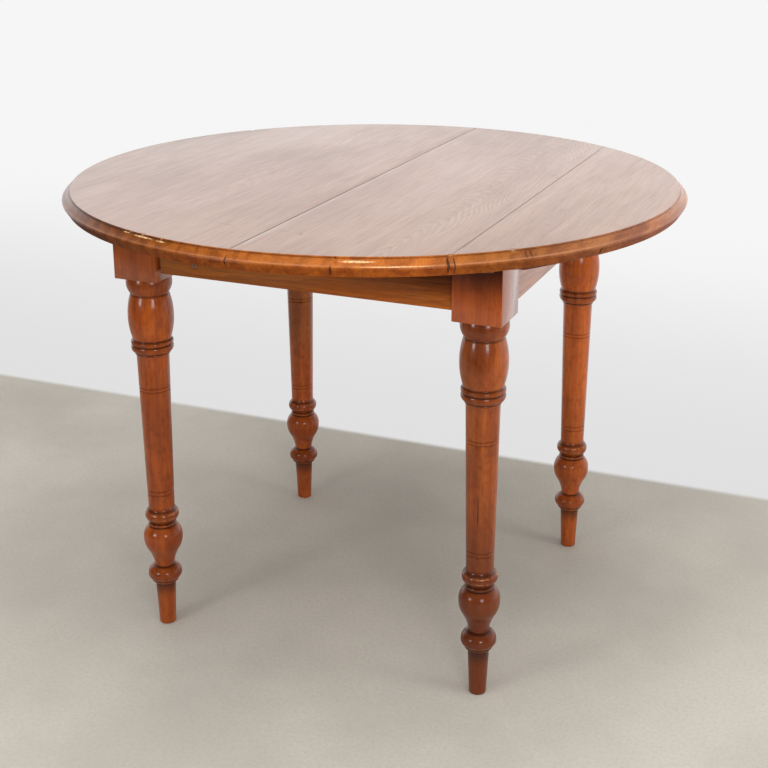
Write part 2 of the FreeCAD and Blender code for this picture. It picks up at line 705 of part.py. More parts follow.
def brace_screws():
    """Screws of the brace at +X +Y: one into the leg and one into each apron."""
    outer = BLOCK_IN_X + BLOCK_IN_Y
    inner = outer - BRACE_THICKNESS * math.sqrt(2)
    shift = (outer - inner) / 2
    middle = Vector(BLOCK_IN_X - shift, BLOCK_IN_Y - shift, BRACE_SCREW_Z)
    at_back = Vector(inner - APRON_IN_Y + BRACE_END_INSET, APRON_IN_Y - BRACE_END_INSET, BRACE_SCREW_Z)
    at_end = Vector(APRON_IN_X - BRACE_END_INSET, inner - APRON_IN_X + BRACE_END_INSET, BRACE_SCREW_Z)
    return [
        screw(middle, Vector(1, 1, 0), BRACE_SCREW_LENGTH),
        screw(at_back, Vector(0, 1, 0), BRACE_END_SCREW),
        screw(at_end, Vector(1, 0, 0), BRACE_END_SCREW),
    ]


def apron_plug():
    """Small wooden plug let into the face of the front apron."""
    face = Vector(PLUG_X, -APRON_OUT_Y, PLUG_Z)
    return cylinder(PLUG_RADIUS, face, face.add(Vector(0, PLUG_DEPTH, 0)))


# ---- Build the base --------------------------------------------------------

CORNERS = {
    "front_left": (-1, -1),
    "front_right": (1, -1),
    "back_left": (-1, 1),
    "back_right": (1, 1),
}


def to_corner(shape, corner):
    """Shape made at +X +Y, reflected into another corner."""
    side_x, side_y = CORNERS[corner]
    placed = shape if side_x > 0 else mirror_x(shape)
    return placed if side_y > 0 else mirror_y(placed)


def build_base():
    aprons = {
        "apron_front": long_apron(-1),
        "apron_back": long_apron(1),
        "apron_left": end_apron(-1),
        "apron_right": end_apron(1),
    }
    bearers = {"leaf_bearer_left": leaf_bearer(-BEARER_X), "leaf_bearer_right": leaf_bearer(BEARER_X)}
    screws = {corner: [to_corner(s, corner) for s in brace_screws()] for corner in CORNERS}
    plug = apron_plug()
    turning = leg_turning()
    block = leg_block()
    for corner, (side_x, side_y) in CORNERS.items():
        leg = at(turning.fuse(block), side_x * LEG_X, side_y * LEG_Y)
        leg = cut_all(leg, list(aprons.values()) + screws[corner])
        export("leg_" + corner, leg)
        export("brace_" + corner, cut_all(to_corner(brace(), corner), screws[corner]))
    every_screw = [s for group in screws.values() for s in group]
    for name, apron in aprons.items():
        export(name, cut_all(apron, every_screw + list(bearers.values()) + [plug]))
    for name, bearer in bearers.items():
        export(name, bearer)
    export("brace_screws", every_screw)
    export("apron_plug", plug)
    export("rail_back", rail())
    export("rail_front", mirror_y(rail()))


# ---- Build the two sliding halves ------------------------------------------

def both_ways(shapes):
    """Shapes made at +Y, with their reflections at -Y."""
    return shapes + [mirror_y(s) for s in shapes]


def build_half(side, name):
    """Everything that moves with one half of the top; side is -1 left, +1 right."""
    screws = both_ways(runner_screws(side) + cleat_screws(side))
    fixings = both_ways(lock_screws(PLATE_SCREWS if side < 0 else KEEPER_SCREWS))
    peg = stop_peg(side)
    bar = cut_all(runner(side), runner_screws(side) + screw_wells(side) + [peg])
    strip = cut_all(cleat(side), cleat_screws(side) + cleat_wells(side))
    hardware = [lock_plate()] if side < 0 else lock_keeper()
    fitting = "lock_plate" if side < 0 else "lock_keeper"
    for label, place in (("back", lambda s: s), ("front", mirror_y)):
        export("runner_" + name + "_" + label, place(bar))
        export("cleat_" + name + "_" + label, place(strip))
        export(fitting + "_" + label, [place(piece) for piece in hardware])
    export("stop_pegs_" + name, both_ways([peg]))
    export("top_screws_" + name, screws)
    export("lock_screws_" + name, fixings)
    return screws + fixings


def build_tops():
    left_holes = build_half(-1, "left")
    right_holes = build_half(1, "right")
    edge = SEAM_GAP / 2
    limit = TOP_FACE_RADIUS + NOSE_PROJECTION + 1
    dowels = [dowel(point.add(Vector(-edge, 0, 0)), Vector(1, 0, 0)) for point in seam_points()]
    sockets = [socket(point.add(Vector(edge, 0, 0)), Vector(1, 0, 0)) for point in seam_points()]
    joint = PLANK_JOINT_X
    export("top_left", cut_all(slab(-limit, -edge), dowels + left_holes))
    export("top_right_inner", cut_all(slab(edge, joint - PLANK_JOINT_GAP / 2), sockets + right_holes))
    export("top_right_outer", cut_all(slab(joint + PLANK_JOINT_GAP / 2, limit), right_holes))
    export("seam_dowels", dowels)
    export("lock_lever_back", lock_lever())
    export("lock_lever_front", mirror_y(lock_lever()))


# ---- Build the stored leaf -------------------------------------------------

def build_leaf():
    edge = LEAF_WIDTH / 2
    for part, side_z in (("lower", -1), ("upper", 1)):
        board = leaf_board(face_up=part == "lower")
        dowels = [dowel(p, Vector(0, 1, 0)) for p in leaf_points(side_z, edge)]
        sockets = [socket(p, Vector(0, 1, 0)) for p in leaf_points(side_z, -edge)]
        recesses = [hinge_recess(y, part) for y in (-HINGE_Y, HINGE_Y)]
        screws = [s for y in (-HINGE_Y, HINGE_Y) for s in hinge_screws(y, part)]
        flaps = [cut_all(hinge_flap(y, part), screws) for y in (-HINGE_Y, HINGE_Y)]
        export("leaf_" + part, cut_all(board, dowels + sockets + recesses + screws))
        export("leaf_dowels_" + part, dowels)
        export("leaf_hinge_flaps_" + part, flaps)
        export("leaf_hinge_screws_" + part, screws)
    ends = [hinge_bar(y, -HINGE_LENGTH / 2, HINGE_LENGTH / 2) for y in (-HINGE_Y, HINGE_Y)]
    export("leaf_hinge_pins", [cylinder(HINGE_PIN_RADIUS, start, end) for start, end in ends])


build_base()
build_tops()
build_leaf()
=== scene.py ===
import math
import random

import bmesh
import bpy
from mathutils import Matrix, Vector, kdtree


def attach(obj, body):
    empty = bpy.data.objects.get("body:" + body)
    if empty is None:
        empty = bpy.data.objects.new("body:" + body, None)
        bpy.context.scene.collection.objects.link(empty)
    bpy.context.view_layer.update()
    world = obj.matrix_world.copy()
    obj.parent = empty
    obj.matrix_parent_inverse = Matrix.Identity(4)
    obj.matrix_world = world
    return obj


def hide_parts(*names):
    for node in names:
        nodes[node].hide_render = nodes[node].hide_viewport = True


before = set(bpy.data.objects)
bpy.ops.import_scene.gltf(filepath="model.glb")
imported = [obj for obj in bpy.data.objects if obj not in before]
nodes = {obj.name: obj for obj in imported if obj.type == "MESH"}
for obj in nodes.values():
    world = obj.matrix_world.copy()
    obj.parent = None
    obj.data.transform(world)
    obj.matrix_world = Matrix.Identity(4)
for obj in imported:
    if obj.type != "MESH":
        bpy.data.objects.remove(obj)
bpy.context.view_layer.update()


# ---- Round top ---------------------------------------------------------------
# Three boards of stained hardwood, cut round after they were laid side by side. The edge
# was moulded with a plane: a small fillet, a hollow, a rounded nose and an undercut. The
# two boards on the right are glued; the middle saw cut is where the top opens.

TOP_Z = 0.760
UNDER_Z = 0.733
FLAT_R = 0.470
FACE_R = 0.502
NOSE_R = 0.514
EDGE_START = FACE_R - 0.0012
SAW_CUT = 0.0003
GLUE_LINE = (0.2869, 0.2871)
SAWN_ARRIS = 0.0005
RIM_STEPS = 1080
# Heights on the moulding: the fillet's step, the nose's ridge and the start of the undercut.
STEP_Z = 0.7570
RIDGE_Z = 0.7489
UNDERCUT_Z = 0.7452
# Materials of a board, numbered after its face, which is 0.
EDGE_SURFACE = 1
SAWN_SURFACE = 2
UNDERCUT_SURFACE = 3


def arc(start, through, end, count):
    """Points after start on the circle through three (radius, height) points."""
    (ax, az), (bx, bz), (cx, cz) = start, through, end
    a, b, c = ax * ax + az * az, bx * bx + bz * bz, cx * cx + cz * cz
    size = 2 * (ax * (bz - cz) + bx * (cz - az) + cx * (az - bz))
    ux = (a * (bz - cz) + b * (cz - az) + c * (az - bz)) / size
    uz = (a * (cx - bx) + b * (ax - cx) + c * (bx - ax)) / size
    begin = math.atan2(az - uz, ax - ux)
    middle = (math.atan2(bz - uz, bx - ux) - begin) % (2 * math.pi)
    sweep = (math.atan2(cz - uz, cx - ux) - begin) % (2 * math.pi)
    if middle > sweep:
        sweep -= 2 * math.pi
    reach = math.hypot(ax - ux, az - uz)
    turns = [begin + sweep * step / count for step in range(1, count + 1)]
    return [(ux + reach * math.cos(t), uz + reach * math.sin(t)) for t in turns]


def profile(steps):
    """Points of an outline: a pair is a corner, (through, end, count) is an arc."""
    points = [steps[0]]
    for step in steps[1:]:
        points += arc(points[-1], *step) if len(step) == 3 else [step]
    return points


def turn(shape, points, steps):
    """Turns a line of (radius, height) points about the Z axis in a bmesh."""
    line = [shape.verts.new((r, 0, z)) for r, z in points]
    edges = [shape.edges.new(pair) for pair in zip(line, line[1:])]
    bmesh.ops.spin(shape, geom=line + edges, cent=(0, 0, 0), axis=(0, 0, 1),
                   angle=2 * math.pi, steps=steps, use_merge=True, use_duplicate=False)
    bmesh.ops.remove_doubles(shape, verts=shape.verts, dist=1e-5)


def close(shape):
    """Fills every open edge loop of a bmesh."""
    open_edges = [e for e in shape.edges if e.is_boundary]
    bmesh.ops.holes_fill(shape, edges=open_edges, sides=0)


def knock(shape, marks):
    """Presses dents and chips into the faces, each a place, a reach and a push."""
    shape.verts.index_update()
    shape.verts.ensure_lookup_table()
    near = kdtree.KDTree(len(shape.verts))
    for v in shape.verts:
        near.insert(v.co, v.index)
    near.balance()
    for place, reach, push in marks:
        for _, index, away in near.find_range(place, reach):
            shape.verts[index].co += push * (1 - (away / reach) ** 2) ** 2


def finish_piece(shape, name, crease=32):
    """Makes the object of a bmesh, smooth but for its real edges, with the depth of its hollows."""
    bmesh.ops.recalc_face_normals(shape, faces=shape.faces)
    shape.normal_update()
    hollow = []
    for v in shape.verts:
        bends = [(e.other_vert(v).co - v.co).normalized().dot(v.normal) for e in v.link_edges]
        hollow.append(sum(bends) / max(len(bends), 1))
    mesh = bpy.data.meshes.new(name)
    shape.to_mesh(mesh)
    shape.free()
    layer = mesh.attributes.new("hollow", "FLOAT", "POINT")
    layer.data.foreach_set("value", hollow)
    mesh.shade_smooth()
    mesh.set_sharp_from_angle(angle=math.radians(crease))
    made = bpy.data.objects.new(name, mesh)
    bpy.context.scene.collection.objects.link(made)
    return made


def rim_outline():
    """Outline of the moulded edge, its points closer where the arris is chipped."""
    z, r = TOP_Z, FACE_R
    return profile([
        (FLAT_R, z),
        (0.4870, z),
        (0.4940, z),
        (0.4975, z),
        (0.4995, z),
        (r - 0.0009, z),
        ((r - 0.0002, z - 0.0002), (r, z - 0.0010), 4),
        (r, z - 0.0026),
        (r + 0.0011, z - 0.0030),
        ((r + 0.0056, z - 0.0079), (NOSE_R - 0.0015, z - 0.0112), 9),
        ((NOSE_R, z - 0.0140), (NOSE_R - 0.0013, z - 0.0168), 8),
        (r + 0.0100, z - 0.0180),
        (r + 0.0079, z - 0.0213),
        (r + 0.0058, z - 0.0247),
        (r + 0.0044, UNDER_Z),
        (FLAT_R, UNDER_Z),
    ])


# Chips out of the rim: angle round the table, height, reach, depth inwards, lift.
RIM_CHIPS = [
    (-134.8, 0.7400, 0.0070, 0.0040, 0.0014),
    (-121.8, 0.7400, 0.0060, 0.0034, 0.0012),
    (-120.1, 0.7390, 0.0045, 0.0034, 0.0010),
    (-113.0, 0.7370, 0.0040, 0.0022, 0.0010),
    (-73.5, 0.7450, 0.0040, 0.0010, 0.0002),
    (-55.9, 0.7440, 0.0050, 0.0016, 0.0006),
    (-46.5, 0.7360, 0.0050, 0.0020, 0.0008),
    (-28.6, 0.7400, 0.0050, 0.0022, 0.0008),
    (38.0, 0.7400, 0.0060, 0.0022, 0.0008),
    (112.0, 0.7400, 0.0050, 0.0022, 0.0010),
    (171.0, 0.7390, 0.0070, 0.0026, 0.0010),
]
# Chips out of the edge of the face: angle round the table, reach, depth.
EDGE_CHIPS = [
    (-45.1, 0.0048, 0.0014),
    (-107.6, 0.0046, 0.0010),
    (-55.4, 0.0030, 0.0010),
    (-110.6, 0.0030, 0.0008),
    (-103.2, 0.0030, 0.0008),
    (20.0, 0.0045, 0.0012),
    (143.0, 0.0050, 0.0012),
]
SMALL_DENTS = 70
DENT_HEIGHTS = [0.7432, 0.7470, 0.7590]


def worn_disc():
    """The whole round top before it is sawn, with its dents and chips."""
    shape = bmesh.new()
    turn(shape, rim_outline(), RIM_STEPS)
    dents = random.Random(7)
    chips = list(RIM_CHIPS)
    for _ in range(SMALL_DENTS):
        chips.append((dents.uniform(-180, 180), dents.choice(DENT_HEIGHTS),
                      dents.uniform(0.0025, 0.0045), dents.uniform(0.0001, 0.0004), 0.0))
    for angle, reach, depth in EDGE_CHIPS:
        chips.append((angle, TOP_Z, reach, depth, -depth))
    marks = []
    for angle, height, reach, depth, lift in chips:
        turned = math.radians(angle)
        out = Vector((math.cos(turned), math.sin(turned), 0))
        radius = FACE_R if height > STEP_Z else NOSE_R - 0.001
        marks.append((out * radius + Vector((0, 0, height)), reach,
                      out * -depth + Vector((0, 0, lift))))
    knock(shape, marks)
    close(shape)
    return shape


def top_board(name, disc, left, right):
    """One board of the top, between two upright planes, with its eased and worn edges."""
    shape = disc.copy()
    for x, way in ((left, -1), (right, 1)):
        if x is not None:
            every = shape.verts[:] + shape.edges[:] + shape.faces[:]
            bmesh.ops.bisect_plane(shape, geom=every, dist=1e-6, plane_co=(x, 0, 0),
                                   plane_no=(way, 0, 0), clear_outer=True)
            close(shape)
            arris = [e for e in shape.edges
                     if all(abs(v.co.x - x) < 1e-5 and v.co.z > TOP_Z - 1e-5 for v in e.verts)]
            bmesh.ops.bevel(shape, geom=arris, offset=SAWN_ARRIS, offset_type="OFFSET",
                            segments=2, profile=0.5, affect="EDGES", material=-1)
    shape.normal_update()
    for face in shape.faces:
        middle = face.calc_center_median()
        if math.hypot(middle.x, middle.y) > EDGE_START and abs(face.normal.x) < 0.999:
            face.material_index = EDGE_SURFACE if middle.z > UNDERCUT_Z else UNDERCUT_SURFACE
        elif middle.z < TOP_Z - 0.0006:
            face.material_index = SAWN_SURFACE
    return finish_piece(shape, name)


def add(tree, kind, inputs=None, **settings):
    """Adds a shader node; inputs gives each socket a value or another node's output."""
    made = tree.nodes.new("ShaderNode" + kind)
    for name, value in settings.items():
        setattr(made, name, value)
    for socket, value in (inputs or {}).items():
        if isinstance(value, bpy.types.NodeSocket):
            tree.links.new(value, made.inputs[socket])
        else:
            made.inputs[socket].default_value = value
    return made


def tint(tree, factor, first, second, way="MIX"):
    """Colour mixed from two by a factor."""
    colours = [c if isinstance(c, bpy.types.NodeSocket) else (*c, 1.0) for c in (first, second)]
    made = add(tree, "Mix", {0: factor, 6: colours[0], 7: colours[1]},
               data_type="RGBA", blend_type=way)
    return made.outputs[2]


def scaled(tree, factor, colour, gain):
    """Colour multiplied by a gain for red, green and blue, by a factor."""
    return tint(tree, factor, colour, gain, "MULTIPLY")


def spread(tree, value, low, high, out_low=0.0, out_high=1.0):
    """Value stretched smoothly from low..high to another range."""
    made = add(tree, "MapRange", {0: value, 1: low, 2: high, 3: out_low, 4: out_high},
               interpolation_type="SMOOTHSTEP")
    return made.outputs[0]


def sums(tree, way, first, second=0.0):
    """Result of a sum on two values, named by its operation."""
    return add(tree, "Math", {0: first, 1: second}, operation=way).outputs[0]


def band(tree, value, middle, wide, full, strength=1.0):
    """Strength where value is within full of the middle, fading out at wide from it."""
    away = sums(tree, "ABSOLUTE", sums(tree, "SUBTRACT", value, middle))
    return spread(tree, away, wide, full, 0.0, strength)


def noise_at(tree, place, stretch, scale, detail=4.0, rough=0.55, twist=0.0):
    """Noise in a space squeezed along the grain."""
    put = add(tree, "Mapping", {0: place, 3: stretch})
    made = add(tree, "TexNoise", {"Vector": put.outputs[0], "Scale": scale, "Detail": detail,
                                  "Roughness": rough, "Distortion": twist})
    return made.outputs[0]


def spot(tree, place, centre, size, turned=(0, 0, 0)):
    """Soft oval spot: 1 in its middle, 0 from its edge outwards."""
    put = add(tree, "Mapping", {0: place, 1: centre, 2: turned, 3: size}, vector_type="TEXTURE")
    return add(tree, "TexGradient", {0: put.outputs[0]}, gradient_type="SPHERICAL").outputs[1]


class Timber:
    """A timber material: the sockets of its figure, and how they become a finish."""

    def __init__(self, name, along, pith, lean, ring=0.008, wander=0.010, patch=6.0):
        self.material = bpy.data.materials.new(name)
        self.material.use_nodes = True
        self.tree = tree = self.material.node_tree
        tree.nodes.clear()
        axis = "XYZ".index(along)

        def squeeze(amount):
            return tuple(amount if i == axis else 1.0 for i in range(3))

        self.place = place = add(tree, "TexCoord").outputs["Object"]
        slow = add(tree, "Mapping", {0: place, 3: squeeze(0.25)})
        drift = add(tree, "TexNoise", {"Vector": slow.outputs[0], "Scale": 9.0, "Detail": 3.0})
        centred = add(tree, "VectorMath", {0: drift.outputs["Color"], 1: (0.5, 0.5, 0.5)},
                      operation="SUBTRACT")
        offset = add(tree, "VectorMath", {0: centred.outputs[0], 3: wander * 4}, operation="SCALE")
        moved = add(tree, "VectorMath", {0: place, 1: offset.outputs[0]}, operation="ADD")
        log = add(tree, "Mapping", {0: moved.outputs[0], 1: pith, 2: lean})
        rings = add(tree, "TexWave", {"Vector": log.outputs[0], "Scale": 0.314 / ring,
                                      "Distortion": 1.6, "Detail": 2.0, "Detail Scale": 1.6},
                    wave_type="RINGS", rings_direction=along, wave_profile="SAW")
        self.rings = rings.outputs[1]
        self.streaks = noise_at(tree, place, squeeze(0.05), 55.0, 6.0, 0.6, 0.3)
        self.fibres = noise_at(tree, place, squeeze(0.03), 420.0, 3.0)
        self.cloud = noise_at(tree, place, squeeze(0.4), patch, 4.0)
        dots = noise_at(tree, place, squeeze(0.045), 700.0, 2.0, 0.5)
        self.pores = spread(tree, dots, 0.60, 0.68)
        self.hollow = add(tree, "Attribute", attribute_name="hollow").outputs["Fac"]

    def figure(self, pale, middle, dark, rings=0.4, streaks=0.5, pores=0.3, patches=0.4):
        """Colour of the wood: streaked body, late wood of the rings, fine dark pores."""
        tree = self.tree
        body = tint(tree, spread(tree, self.streaks, 0.36, 0.64), middle, pale)
        body = tint(tree, spread(tree, self.cloud, 0.40, 0.72, 0.0, patches), body, dark)
        late = sums(tree, "POWER", self.rings, 3.0)
        faint = spread(tree, self.streaks, 0.30, 0.60, rings * 0.35, rings)
        body = tint(tree, sums(tree, "MULTIPLY", late, faint), body, dark)
        veins = spread(tree, self.fibres, 0.50, 0.76, 0.0, streaks)
        body = tint(tree, veins, body, dark)
        return tint(tree, sums(tree, "MULTIPLY", self.pores, pores), body,
                    tuple(c * 0.35 for c in dark))

    def wax(self, colour, dark, worn, depth=0.8):
        """Old wax left dark in the hollows, and colour rubbed off proud edges."""
        tree = self.tree
        deep = spread(tree, self.hollow, 0.03, 0.30, 0.0, depth)
        colour = tint(tree, deep, colour, dark)
        proud = spread(tree, self.hollow, -0.10, -0.45, 0.0, 0.55)
        rubbed = sums(tree, "MULTIPLY", proud, spread(tree, self.cloud, 0.40, 0.60))
        return tint(tree, rubbed, colour, worn)

    def polish(self, colour, rough, rough_more, relief=0.25, coat=0.0, coat_rough=0.2, shine=0.5):
        """Ends the material in its shader, with the grain felt in gloss and relief."""
        tree = self.tree
        uneven = sums(tree, "ADD", sums(tree, "MULTIPLY", self.fibres, 0.5),
                      sums(tree, "MULTIPLY", self.cloud, 0.5))
        matt = spread(tree, uneven, 0.35, 0.65, rough, rough_more)
        height = sums(tree, "SUBTRACT", self.fibres, sums(tree, "MULTIPLY", self.pores, 0.6))
        bump = add(tree, "Bump", {"Strength": relief, "Distance": 0.0004, "Height": height})
        shader = add(tree, "BsdfPrincipled", {"Base Color": colour, "Roughness": matt,
                                              "Normal": bump.outputs[0], "Coat Weight": coat,
                                              "Coat Roughness": coat_rough,
                                              "Specular IOR Level": shine})
        out = add(tree, "OutputMaterial")
        tree.links.new(shader.outputs[0], out.inputs[0])
        return self.material


TOP_PALE = (0.350, 0.164, 0.086)
TOP_MIDDLE = (0.278, 0.118, 0.058)
TOP_DARK = (0.140, 0.050, 0.023)
RIM_ORANGE = (0.560, 0.160, 0.020)
RIM_BROWN = (0.330, 0.082, 0.012)
RIM_DARK = (0.110, 0.026, 0.006)
RIM_RIDGE_HIGHLIGHT = (0.620, 0.290, 0.150)
RIM_HIGHLIGHT = (0.950, 0.620, 0.320)
# Pale of fresh wood in chips and rubbed edges, also the colour of a painted highlight on the front
# apron.
FRESH_WOOD_AND_HIGHLIGHT = (0.560, 0.330, 0.160)
# Dark of grime for joints, nicks and hollows, also used as the colour of painted shade.
GRIME_AND_SHADE = (0.030, 0.012, 0.006)
# Direction across the top in which its edge goes from darker on the left to paler, with a painted
# sheen, on the right.
LEFT_TO_RIGHT = (0.93, 0.36)
# Gains for red, green and blue of the edge: darker on the left; paler and pinker on the right,
# partly faded stain and partly a painted sheen; on the quarter between the front and the
# right; and painted shade in the undercut, which fades in between two heights.
LEFT_GAIN = (0.32, 0.32, 0.44)
RIGHT_FADE_AND_SHEEN_GAIN = (0.72, 0.90, 2.60)
QUARTER_GAIN = (0.80, 0.92, 1.15)
UNDERCUT_SHADE_GAIN = (0.80, 0.70, 0.72)
UNDERCUT_FADE = (0.7480, 0.7462)
# Gain of the face towards its left.
LEFT_FACE_GAIN = (0.86, 0.88, 0.92)
# Grime in the joints of the face: place, half width, strength.
DARK_JOINTS = [(0.0, 0.0019, 0.70), (GLUE_LINE[0], 0.0011, 0.40)]
# Small knots and stains on the top: place, half sizes, turn about Z.
KNOTS = [((0.115, 0.027), (0.020, 0.005), 0.2), ((0.269, 0.125), (0.016, 0.005), 0.1),
         ((0.356, -0.205), (0.006, 0.005), 0.0), ((-0.046, -0.331), (0.006, 0.005), 0.0),
         ((0.024, -0.387), (0.010, 0.006), 0.3), ((-0.072, -0.385), (0.030, 0.004), -0.2),
         ((0.052, -0.392), (0.006, 0.016), 0.5), ((-0.003, -0.080), (0.004, 0.009), 0.0)]
# Dark nicks across the rim, all as far out as NICK_R: angle round the table, half width,
# height, half height.
NICK_R = 0.509
NICKS = [(-90.2, 0.0013, 0.7450, 0.009), (-73.6, 0.0012, 0.7430, 0.009),
         (-73.0, 0.0016, 0.7585, 0.002), (-56.0, 0.0018, 0.7480, 0.014),
         (-55.0, 0.0009, 0.7480, 0.013), (-43.2, 0.0008, 0.7530, 0.006),
         (-42.3, 0.0009, 0.7530, 0.006), (-28.6, 0.0018, 0.7410, 0.007),
         (-27.7, 0.0008, 0.7420, 0.006), (-101.2, 0.0007, 0.7440, 0.006),
         (-113.0, 0.0008, 0.7400, 0.006), (-134.6, 0.0020, 0.7410, 0.008),
         (-121.8, 0.0012, 0.7400, 0.008), (12.0, 0.0010, 0.7460, 0.010),
         (57.5, 0.0011, 0.7440, 0.008), (104.0, 0.0010, 0.7450, 0.008),
         (151.0, 0.0010, 0.7440, 0.008), (-163.0, 0.0010, 0.7440, 0.008)]
# Highlights painted on the moulding, all at the radius below: angle, half length, height,
# half height.
HIGHLIGHT_R = 0.507
PAINTED_HIGHLIGHTS = [(-69.6, 0.030, 0.7540, 0.0016), (-64.0, 0.062, 0.7486, 0.0009),
          (-107.2, 0.026, 0.7562, 0.0012), (-111.6, 0.010, 0.7568, 0.0008),
          (-103.2, 0.010, 0.7556, 0.0010)]


def face_finish(name, pith, lean, ring, figured):
    """Faded, waxed face of one board."""
    wood = Timber(name, "Y", pith, (lean, 0, 0), ring)
    tree = wood.tree
    colour = wood.figure(TOP_PALE, TOP_MIDDLE, TOP_DARK,
                         rings=figured, streaks=0.25, pores=0.40, patches=0.38)
    across = add(tree, "SeparateXYZ", {0: wood.place}).outputs[0]
    colour = scaled(tree, spread(tree, across, 0.10, -0.45), colour, LEFT_FACE_GAIN)
    for joint, wide, dark in DARK_JOINTS:
        colour = tint(tree, band(tree, across, joint, wide, wide * 0.4, dark), colour, GRIME_AND_SHADE)
    for (x, y), (wide, long), turned in KNOTS:
        dark = spot(tree, wood.place, (x, y, TOP_Z), (wide, long, 0.01), (0, 0, turned))
        colour = tint(tree, spread(tree, dark, 0.1, 0.8, 0.0, 0.75), colour, TOP_DARK)
    colour = bare_chips(wood, wood.wax(colour, GRIME_AND_SHADE, FRESH_WOOD_AND_HIGHLIGHT, 0.65))
    return wood.polish(colour, 0.30, 0.42, relief=0.15, coat=0.5, coat_rough=0.18, shine=0.6)


def edge_finish(name, pith, lean, ring, gloss):
    """Moulded edge of one board: stain still strong in front, faded and with a painted sheen on the
    right, painted shade under the fillet and in the undercut, and painted highlights on the
    moulding.
    """
    wood = Timber(name, "Y", pith, (lean, 0, 0), ring)
    tree = wood.tree
    colour = wood.figure(RIM_ORANGE, RIM_BROWN, RIM_DARK,
                         rings=0.15, streaks=0.40, pores=0.30, patches=0.25)
    ticks = noise_at(tree, wood.place, (1, 1, 0.10), 480.0, 3.0, 0.6)
    colour = tint(tree, spread(tree, ticks, 0.54, 0.74, 0.0, 0.45), colour, RIM_DARK)
    colour = wood.wax(colour, GRIME_AND_SHADE, RIM_ORANGE, 0.55)
    x, y, height = add(tree, "SeparateXYZ", {0: wood.place}).outputs
    beside = sums(tree, "ADD", sums(tree, "MULTIPLY", x, LEFT_TO_RIGHT[0]),
                  sums(tree, "MULTIPLY", y, LEFT_TO_RIGHT[1]))
    colour = scaled(tree, spread(tree, beside, -0.05, -0.45), colour, LEFT_GAIN)
    # Paler and pinker towards the right: partly faded stain, partly a painted sheen.
    colour = scaled(tree, spread(tree, beside, 0.12, 0.48), colour, RIGHT_FADE_AND_SHEEN_GAIN)
    colour = scaled(tree, band(tree, beside, 0.26, 0.20, 0.05), colour, QUARTER_GAIN)
    # Painted shade in the undercut.
    colour = scaled(tree, spread(tree, height, *UNDERCUT_FADE), colour, UNDERCUT_SHADE_GAIN)
    # Painted shadow: a dark line under the fillet's step, strongest on the left.
    step = band(tree, height, STEP_Z, 0.0011, 0.0002, 0.65)
    step = sums(tree, "MULTIPLY", step, spread(tree, beside, -0.15, -0.40, 0.12, 1.0))
    colour = tint(tree, step, colour, GRIME_AND_SHADE)
    # Painted highlight: a pale, broken line along the nose's ridge.
    ridge_highlight = band(tree, height, RIDGE_Z, 0.0013, 0.0002, 0.30)
    ridge_highlight = sums(tree, "MULTIPLY", ridge_highlight, spread(tree, wood.cloud, 0.36, 0.56, 0.35, 1.0))
    colour = tint(tree, ridge_highlight, colour, RIM_RIDGE_HIGHLIGHT)
    # Painted highlights on the moulding, broken by the grain's ticks.
    for angle, long, height, tall in PAINTED_HIGHLIGHTS:
        turned = math.radians(angle)
        centre = (HIGHLIGHT_R * math.cos(turned), HIGHLIGHT_R * math.sin(turned), height)
        bright = spot(tree, wood.place, centre, (0.012, long, tall), (0, 0, turned))
        bright = sums(tree, "MULTIPLY", spread(tree, bright, 0.0, 0.45),
                      spread(tree, ticks, 0.60, 0.46, 0.25, 0.95))
        colour = tint(tree, bright, colour, RIM_HIGHLIGHT)
    for angle, wide, height, tall in NICKS:
        turned = math.radians(angle)
        centre = (NICK_R * math.cos(turned), NICK_R * math.sin(turned), height)
        dark = spot(tree, wood.place, centre, (0.016, wide * 1.8, tall * 1.3), (0, 0, turned))
        colour = tint(tree, spread(tree, dark, 0.12, 0.60, 0.0, 0.85), colour, GRIME_AND_SHADE)
    return wood.polish(bare_chips(wood, colour), **gloss)


def bare_chips(wood, colour):
    """Pale wood where the upper edge has lost a chip."""
    for angle, reach, depth in EDGE_CHIPS:
        turned = math.radians(angle)
        centre = (FACE_R * math.cos(turned), FACE_R * math.sin(turned), TOP_Z - 0.001)
        bare = spot(wood.tree, wood.place, centre, (reach, reach, reach))
        bare = spread(wood.tree, bare, 0.25, 0.7, 0.0, 0.5)
        colour = tint(wood.tree, bare, colour, FRESH_WOOD_AND_HIGHLIGHT)
    return colour


RAW_PALE = (0.520, 0.350, 0.190)
RAW_MIDDLE = (0.420, 0.265, 0.135)
RAW_DARK = (0.240, 0.140, 0.068)
DUST = (0.110, 0.080, 0.055)


def raw_finish(name, along, pith):
    """Wood that never saw stain: greyed by dust and by hands."""
    wood = Timber(name, along, pith, (0.04, 0.03, 0.05), ring=0.0060, wander=0.006)
    colour = wood.figure(RAW_PALE, RAW_MIDDLE, RAW_DARK,
                         rings=0.30, streaks=0.35, pores=0.25, patches=0.30)
    soiled = spread(wood.tree, wood.cloud, 0.45, 0.75, 0.0, 0.55)
    colour = tint(wood.tree, soiled, colour, DUST)
    return wood.polish(colour, 0.55, 0.72, relief=0.35)


# Gloss of the edge where hands rub it, and of the undercut that they miss.
RUBBED_GLOSS = dict(rough=0.24, rough_more=0.36, relief=0.10, coat=0.10, coat_rough=0.20,
                    shine=0.20)
DULL_GLOSS = dict(rough=0.52, rough_more=0.68, relief=0.10, coat=0.0, coat_rough=0.20,
                  shine=0.05)

raw_along_y = raw_finish("raw_wood_along_y", "Y", (0.10, 0, -0.50))
disc = worn_disc()
